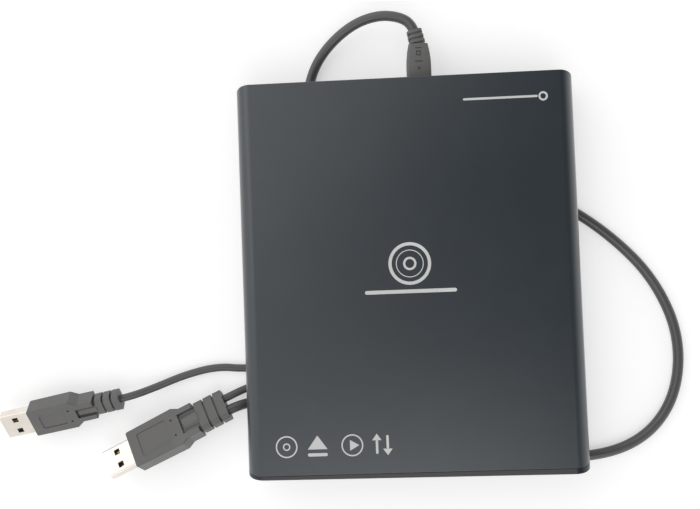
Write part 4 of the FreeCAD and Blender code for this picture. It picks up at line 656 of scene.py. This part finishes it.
CASE_HALF = 69.0
CASE_FRONT = -80.5
CASE_REAR = 80.5
COVER_FRONT = -79.1
COVER_TOP = 10.25
PARTING = -2.65
UNDERSIDE = -8.65
COVER_ROUND = 6.0
BASE_ROUND = 3.0
COVER_WALL = 1.5
CORNER_ROUND = 2.2
CORNER_BAND = 4.0

# Bosses and ribs under the cover

POST_X = 56.0
POST_Y = 66.0
POST_RADIUS = 2.6
RIB_PLACES = (-45.0, 0.0, 35.0)
RIB_HALF = 55.0
RIB_LOW = 8.46
RIB_THICKNESS = 1.0

# The frame: left, right, low and high of its opening and its sleeve, and their low and high rounds

OPENING = (-66.55, 66.55, -6.35, 7.95)
SLEEVE = (-67.3, 67.3, -6.95, 8.65)
LIP_OPENING_ROUNDS = (1.2, 1.2)
SLEEVE_OPENING_ROUNDS = (1.2, 3.7)
SLEEVE_ROUNDS = (1.3, 4.4)
SLEEVE_DEPTH = 3.1

# The lip: how wide its drawn-back corners are, where they are cut, and how far its face is askew

LIP_SPREAD = 7.5
LIP_CUTS = (61.5, 62.5, 63.5, 64.5, 65.5, 66.9, 67.6, 68.2, 68.6, 68.8, 68.93)
SKEW = 0.85
NEAR = 0.01


def round_in_plan(bm, end, inwards, radius, spread):
    """Draws the end's outer corners back along Y, as a rounded corner in plan."""
    start = CASE_HALF - spread
    for vert in bm.verts:
        if abs(vert.co.y - end) > NEAR or abs(vert.co.x) < start:
            continue
        share = min(1.0, (abs(vert.co.x) - start) / spread)
        vert.co.y += inwards * radius * (1.0 - math.sqrt(1.0 - share * share))


def make_cover():
    """The wrapped cover: a flat face with both long edges rolled down."""
    bm = bmesh.new()
    box_of(bm, (-CASE_HALF, COVER_FRONT, PARTING), (CASE_HALF, CASE_REAR, COVER_TOP))
    delete_faces(bm, lambda place, normal: abs(normal.y) > 0.9 or normal.z < -0.9)
    rounded(bm, edges_along(bm, 1, lambda place: place.z > COVER_TOP - 1), COVER_ROUND, 14)
    cut_across(bm, 1, (COVER_FRONT + CORNER_BAND, CASE_REAR - CORNER_BAND))
    round_in_plan(bm, COVER_FRONT, 1.0, CORNER_ROUND, COVER_ROUND)
    round_in_plan(bm, CASE_REAR, -1.0, CORNER_ROUND, COVER_ROUND)
    cover = finish_piece("cover_skin", bm, "casing", ["top_cover"])
    wall(cover, COVER_WALL)
    soften(cover, 0.3)
    return cover


def make_cover_posts():
    """What is under the cover: two screw bosses and three stiffening ribs."""
    bm = bmesh.new()
    ceiling = COVER_TOP - COVER_WALL
    size = {"radius1": POST_RADIUS, "radius2": POST_RADIUS, "depth": ceiling - PARTING}
    for side in (-1, 1):
        post = bmesh.ops.create_cone(bm, cap_ends=True, segments=32, **size)["verts"]
        bmesh.ops.translate(bm, verts=post, vec=(side * POST_X, POST_Y, (ceiling + PARTING) / 2))
    for place in RIB_PLACES:
        box_of(bm, (-RIB_HALF, place, RIB_LOW), (RIB_HALF, place + RIB_THICKNESS, ceiling))
    return finish_piece("cover_posts", bm, "casing")


def make_front_frame():
    """The proud glossy frame round the tray's front, its face a little askew."""
    outer = (-CASE_HALF, CASE_HALF, UNDERSIDE, COVER_TOP, BASE_ROUND, COVER_ROUND)
    inner = (*OPENING, *LIP_OPENING_ROUNDS)
    bm = frame_between(outer, inner, CASE_FRONT, COVER_FRONT - CASE_FRONT)
    cut_across(bm, 0, [side * place for place in LIP_CUTS for side in (-1, 1)])
    front = [vert for vert in bm.verts if vert.co.y < CASE_FRONT + NEAR]
    round_in_plan(bm, COVER_FRONT, 1.0, CORNER_ROUND, COVER_ROUND)
    round_in_plan(bm, CASE_FRONT, 1.0, CORNER_ROUND, LIP_SPREAD)
    for vert in front:
        vert.co.y -= SKEW * (vert.co.x + CASE_HALF) / (2 * CASE_HALF)
    frame_lip = finish_piece("front_lip", bm, "casing", ["front_frame"])
    soften(frame_lip, 0.35, 3)
    return frame_lip


def make_front_sleeve():
    """The part of the frame that slips into the covers and carries the tray's opening."""
    outer = (*SLEEVE, *SLEEVE_ROUNDS)
    inner = (*OPENING, *SLEEVE_OPENING_ROUNDS)
    bm = frame_between(outer, inner, COVER_FRONT, SLEEVE_DEPTH)
    return finish_piece("front_sleeve", bm, "casing")


# Printed marks on the cover: plain signs for a disc drive

INK = 0.04
INK_PROUD = 0.02


class Print:
    """Flat shapes, drawn in millimetres, that become thin raised signs."""

    def __init__(self):
        self.bm = bmesh.new()

    def ring(self, x, y, radius, line, steps=72):
        edges = []
        for size in (radius, radius - line):
            made = bmesh.ops.create_circle(self.bm, segments=steps, radius=size, cap_ends=False)["verts"]
            bmesh.ops.translate(self.bm, verts=made, vec=(x, y, 0.0))
            edges += [edge for edge in self.bm.edges if edge.verts[0] in made and edge.verts[1] in made]
        bmesh.ops.bridge_loops(self.bm, edges=edges)

    def bar(self, x, y, length, width, turn=0.0):
        made = bmesh.ops.create_grid(self.bm, x_segments=1, y_segments=1, size=0.5)["verts"]
        bmesh.ops.scale(self.bm, verts=made, vec=(length, width, 1.0))
        bmesh.ops.rotate(self.bm, verts=made, matrix=Matrix.Rotation(math.radians(turn), 3, "Z"))
        bmesh.ops.translate(self.bm, verts=made, vec=(x, y, 0.0))
        bmesh.ops.bevel(
            self.bm, geom=made, offset=width * 0.49, segments=8, profile=0.5, affect="VERTICES", material=-1
        )

    def wedge(self, x, y, radius, turn, squeeze=1.0):
        made = bmesh.ops.create_circle(self.bm, segments=3, radius=radius, cap_ends=True)["verts"]
        bmesh.ops.rotate(self.bm, verts=made, matrix=Matrix.Rotation(math.radians(turn), 3, "Z"))
        bmesh.ops.scale(self.bm, verts=made, vec=(1.0, squeeze, 1.0))
        bmesh.ops.translate(self.bm, verts=made, vec=(x, y, 0.0))

    def lay(self, name, height, place):
        """Makes the shapes a piece of this height, with its underside in the place."""
        extrude(self.bm, self.bm.faces[:], (0.0, 0.0, height))
        bmesh.ops.translate(self.bm, verts=self.bm.verts, vec=place)
        return finish_piece(name, self.bm, "casing")

    def lay_on_cover(self, name):
        return self.lay(name, INK, (0.0, 0.0, COVER_TOP - INK_PROUD))


def print_disc_sign():
    """A disc over its tray, in the middle of the cover."""
    sign = Print()
    x, y = -0.1, 4.6
    sign.ring(x, y, 8.6, 1.3)
    sign.ring(x, y, 5.6, 0.35)
    sign.ring(x, y, 2.7, 0.9)
    sign.bar(x, y - 11.2, 37.0, 1.5)
    return sign.lay_on_cover("disc_sign")


def print_long_rule():
    """A plain rule with a ring at its end, at the rear right."""
    sign = Print()
    sign.bar(39.0, 70.1, 30.0, 0.9)
    sign.ring(56.2, 70.0, 1.9, 0.8, 40)
    return sign.lay_on_cover("rear_rule")


def print_small_signs():
    """Four plain signs at the front left: disc, eject, play and both ways."""
    sign = Print()
    y = -67.4
    sign.ring(-52.5, y, 4.4, 0.55, 56)
    sign.ring(-52.5, y, 1.5, 0.5, 40)
    sign.wedge(-40.0, y + 0.6, 4.6, 0.0, 0.8)
    sign.bar(-40.0, y - 3.4, 8.0, 1.3)
    sign.ring(-26.0, y, 4.4, 0.55, 56)
    sign.wedge(-25.7, y, 2.5, -90.0)
    for x, turn in ((-16.1, 1.0), (-11.8, -1.0)):
        sign.bar(x, y - turn * 0.9, 5.6, 1.0, 90.0)
        sign.wedge(x, y + turn * 2.6, 2.2, 90.0 - turn * 90.0, 0.8)
    return sign.lay_on_cover("small_signs")


cover_skin = make_cover()
cover_posts = make_cover_posts()
front_lip = make_front_frame()
front_sleeve = make_front_sleeve()
signs = [print_disc_sign(), print_long_rule(), print_small_signs()]


# The folded shells of the two large plugs

SHELL_HALF = 6.0
SHELL_RISE = 2.25
SHELL_SHEET = 0.35
SHELL_REACH = 12.2
SHELL_BACK = 3.0
SHELL_CORNER = 0.75
SEAM_HALF = 0.04

# The windows, from the shell's tip backwards and from its middle outwards

WINDOW_REAR = 7.1
WINDOW_FRONT = 4.8
WINDOW_INNER = 1.75
WINDOW_OUTER = 4.05


def make_plug_shell(name, place_at, grip_front, replaced):
    """A folded shell with round corners, two windows in each wide face and a seam below."""
    start = grip_front - SHELL_BACK
    end = grip_front + SHELL_REACH
    bm = bmesh.new()
    box_of(bm, (start, -SHELL_HALF, -SHELL_RISE), (end, SHELL_HALF, SHELL_RISE))
    delete_faces(bm, lambda place, normal: abs(normal.x) > 0.9)
    rounded(bm, edges_along(bm, 0), SHELL_CORNER, 5)
    rear = end - WINDOW_REAR
    front = end - WINDOW_FRONT
    cut_across(bm, 0, (rear, front))
    cuts = (SEAM_HALF, WINDOW_INNER, WINDOW_OUTER)
    cut_across(bm, 1, [side * cut for side in (-1, 1) for cut in cuts])

    def in_window(place, normal):
        across = WINDOW_INNER < abs(place.y) < WINDOW_OUTER
        return abs(normal.z) > 0.9 and across and rear < place.x < front

    delete_faces(bm, in_window)
    delete_faces(bm, lambda place, normal: normal.z < -0.9 and abs(place.y) < SEAM_HALF)
    bmesh.ops.transform(bm, matrix=place_at, verts=bm.verts)
    shell = finish_piece(name, bm, "casing", [replaced])
    wall(shell, SHELL_SHEET)
    soften(shell, 0.08, 2)
    return shell


# The small plug's grip, its sides drawn in over the barrel's length, and the signs on it

MINI_GRIP = 16.4
MINI_HALF = 5.1
MINI_RISE = 3.8
MINI_CORNER = 1.2
BARREL = 9.0
BARREL_CUTS = (9.0, 7.5, 6.0, 4.5, 3.2, 2.0, 1.0)
BARREL_DRAW = 0.22
SIGN_HEIGHT = 0.15
SIGN_SUNK = 0.05

# Its relief: a core with a pocket for the cord, and the start and half width of each collar

CORE_HALF = 2.7
CORE_RISE = 2.4
CORE_CORNER = 1.6
CORE_START = -1.0
CORE_END = 6.4
POCKET_WALL = 0.3
POCKET_DEPTH = 1.6
COLLARS = ((0.9, 3.35), (3.0, 3.3), (5.1, 3.2))
COLLAR_RISE = 3.0
COLLAR_CORNER = 1.8
COLLAR_WIDTH = 1.3


def make_mini_grip():
    """The small plug's grip: barrel sides and a relief of three collars round the cord."""
    x, y, z = MINI_AT
    bm = bmesh.new()
    end = slab(bm, CORE_HALF, CORE_RISE, CORE_CORNER, CORE_START, CORE_END)
    bmesh.ops.inset_region(bm, faces=[end], thickness=POCKET_WALL)
    extrude(bm, [end], (0.0, -POCKET_DEPTH, 0.0))
    bmesh.ops.delete(bm, geom=[end], context="FACES_ONLY")
    for place, half in COLLARS:
        slab(bm, half, COLLAR_RISE, COLLAR_CORNER, place, place + COLLAR_WIDTH)
    bmesh.ops.transform(bm, matrix=relief_axis, verts=bm.verts)
    body = bmesh.new()
    box_of(body, (x - MINI_HALF, y - MINI_GRIP, z - MINI_RISE), (x + MINI_HALF, y, z + MINI_RISE))
    rounded(body, edges_along(body, 1), MINI_CORNER, 5)
    cut_across(body, 1, [y - back for back in BARREL_CUTS])
    for vert in body.verts:
        share = max(0.0, (vert.co.y - y + BARREL) / BARREL)
        vert.co.x -= (vert.co.x - x) * BARREL_DRAW * share * share
    join(bm, body)
    grip = finish_piece("mini_grip_barrel", bm, "casing", ["mini_plug_grip"])
    soften(grip, 0.3, 3)
    return grip


def make_grip_signs():
    """Plain raised signs on the small grip: two bars, a frame and an arrow to the socket."""
    x, y, z = MINI_AT
    sign = Print()
    sign.bar(0.0, -1.9, 2.7, 0.4)
    for side in (-1, 1):
        sign.bar(side * 0.75, -4.1, 1.9, 0.35, 90.0)
        sign.bar(0.0, -4.1 + side * 0.8, 1.7, 0.35)
    sign.bar(0.0, -7.5, 3.3, 0.4)
    sign.wedge(0.0, -10.4, 0.9, 180.0)
    return sign.lay("mini_grip_signs", SIGN_HEIGHT, (x, y, z + MINI_RISE - SIGN_SUNK))


DATA_GRIP_LENGTH = 43.4
POWER_GRIP_LENGTH = 38.6
data_shell = make_plug_shell("data_shell_folded", data_axis, DATA_GRIP_LENGTH, "data_plug_shell")
power_shell = make_plug_shell("power_shell_folded", power_axis, POWER_GRIP_LENGTH, "power_plug_shell")
mini_grip = make_mini_grip()
mini_signs = make_grip_signs()

for piece, finish in (
    (cover_skin, cover_satin),
    (cover_posts, cover_satin),
    (front_lip, front_gloss),
    (front_sleeve, base_black),
    (data_shell, plug_nickel),
    (power_shell, plug_nickel),
    (mini_grip, plug_vinyl),
    (mini_signs, sign_vinyl),
):
    coat(piece, finish)
for sign in signs:
    coat(sign, print_ink)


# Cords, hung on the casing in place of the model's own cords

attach(main_cord, "casing")
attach(power_cord, "casing")
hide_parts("main_cord")
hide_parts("power_cord")


# Floor and light

FLOOR_HALF = 3.0
FLOOR_HEIGHT = -13.25 * MM
PAPER_GLOW_SHARE = 0.30
PAPER_GLOW = 1.62

# The room: where its dark ceiling lies, how bright ceiling and walls are, and the cosines of the
# angles from the ceiling's middle where the walls end and the full dark begins

DARK_CEILING = (0.35, 0.30, 1.0)
CEILING = 0.10
WALLS = 0.95
WALLS_END = 0.5
FULL_DARK = 0.99


def make_floor():
    bm = bmesh.new()
    bmesh.ops.create_grid(bm, x_segments=1, y_segments=1, size=FLOOR_HALF)
    bmesh.ops.translate(bm, verts=bm.verts, vec=(0.0, 0.0, FLOOR_HEIGHT))
    mesh = bpy.data.meshes.new("floor")
    bm.to_mesh(mesh)
    bm.free()
    floor = bpy.data.objects.new("floor", mesh)
    bpy.context.scene.collection.objects.link(floor)
    coat(floor, make_paper())


def make_paper():
    """White paper that keeps a soft shadow: part of its white is a glow, seen but lighting nothing."""
    paper = Finish("floor paper", (0.93, 0.93, 0.93), 0.9)
    path = paper.node("ShaderNodeLightPath")
    seen = path.outputs["Is Camera Ray"]
    for ray in ("Is Glossy Ray", "Is Transmission Ray"):
        either = paper.node("ShaderNodeMath", operation="MAXIMUM")
        paper.link(seen, either.inputs[0])
        paper.link(path.outputs[ray], either.inputs[1])
        seen = either.outputs[0]
    share = paper.node("ShaderNodeMath", operation="MULTIPLY")
    paper.link(seen, share.inputs[0])
    share.inputs[1].default_value = PAPER_GLOW_SHARE
    glow = paper.node("ShaderNodeEmission")
    glow.inputs["Color"].default_value = (1.0, 1.0, 1.0, 1.0)
    glow.inputs["Strength"].default_value = PAPER_GLOW
    mix = paper.node("ShaderNodeMixShader")
    paper.link(share.outputs[0], mix.inputs["Fac"])
    paper.link(paper.shader.outputs["BSDF"], mix.inputs[1])
    paper.link(glow.outputs["Emission"], mix.inputs[2])
    paper.link(mix.outputs["Shader"], paper.tree.nodes["Material Output"].inputs["Surface"])
    return paper


def lamp(name, place, width, power):
    """A square lamp that shines at the middle of the part."""
    data = bpy.data.lights.new(name, "AREA")
    data.shape = "SQUARE"
    data.size = width
    data.energy = power
    made = bpy.data.objects.new(name, data)
    made.location = place
    made.rotation_euler = (-Vector(place)).to_track_quat("-Z", "Y").to_euler()
    bpy.context.scene.collection.objects.link(made)


def make_light():
    """A pale room with a darker ceiling, a wide window at the rear left and a fill at the front."""
    world = bpy.data.worlds.new("studio")
    bpy.context.scene.world = world
    world.use_nodes = True
    tree = world.node_tree
    background = tree.nodes["Background"]
    background.inputs["Color"].default_value = (1.0, 1.0, 1.0, 1.0)
    direction = tree.nodes.new("ShaderNodeTexCoord").outputs["Generated"]
    towards = tree.nodes.new("ShaderNodeVectorMath")
    towards.operation = "DOT_PRODUCT"
    towards.inputs[1].default_value = Vector(DARK_CEILING).normalized()
    tree.links.new(direction, towards.inputs[0])
    room = tree.nodes.new("ShaderNodeMapRange")
    room.interpolation_type = "SMOOTHSTEP"
    tree.links.new(towards.outputs["Value"], room.inputs["Value"])
    room.inputs["From Min"].default_value = WALLS_END
    room.inputs["From Max"].default_value = FULL_DARK
    room.inputs["To Min"].default_value = WALLS
    room.inputs["To Max"].default_value = CEILING
    tree.links.new(room.outputs["Result"], background.inputs["Strength"])
    lamp("window", (-0.36, 0.52, 0.74), 1.1, 2.8)
    lamp("front fill", (0.03, -0.54, 0.90), 0.6, 1.6)


make_floor()
make_light()
bpy.context.scene.view_settings.view_transform = "Standard"
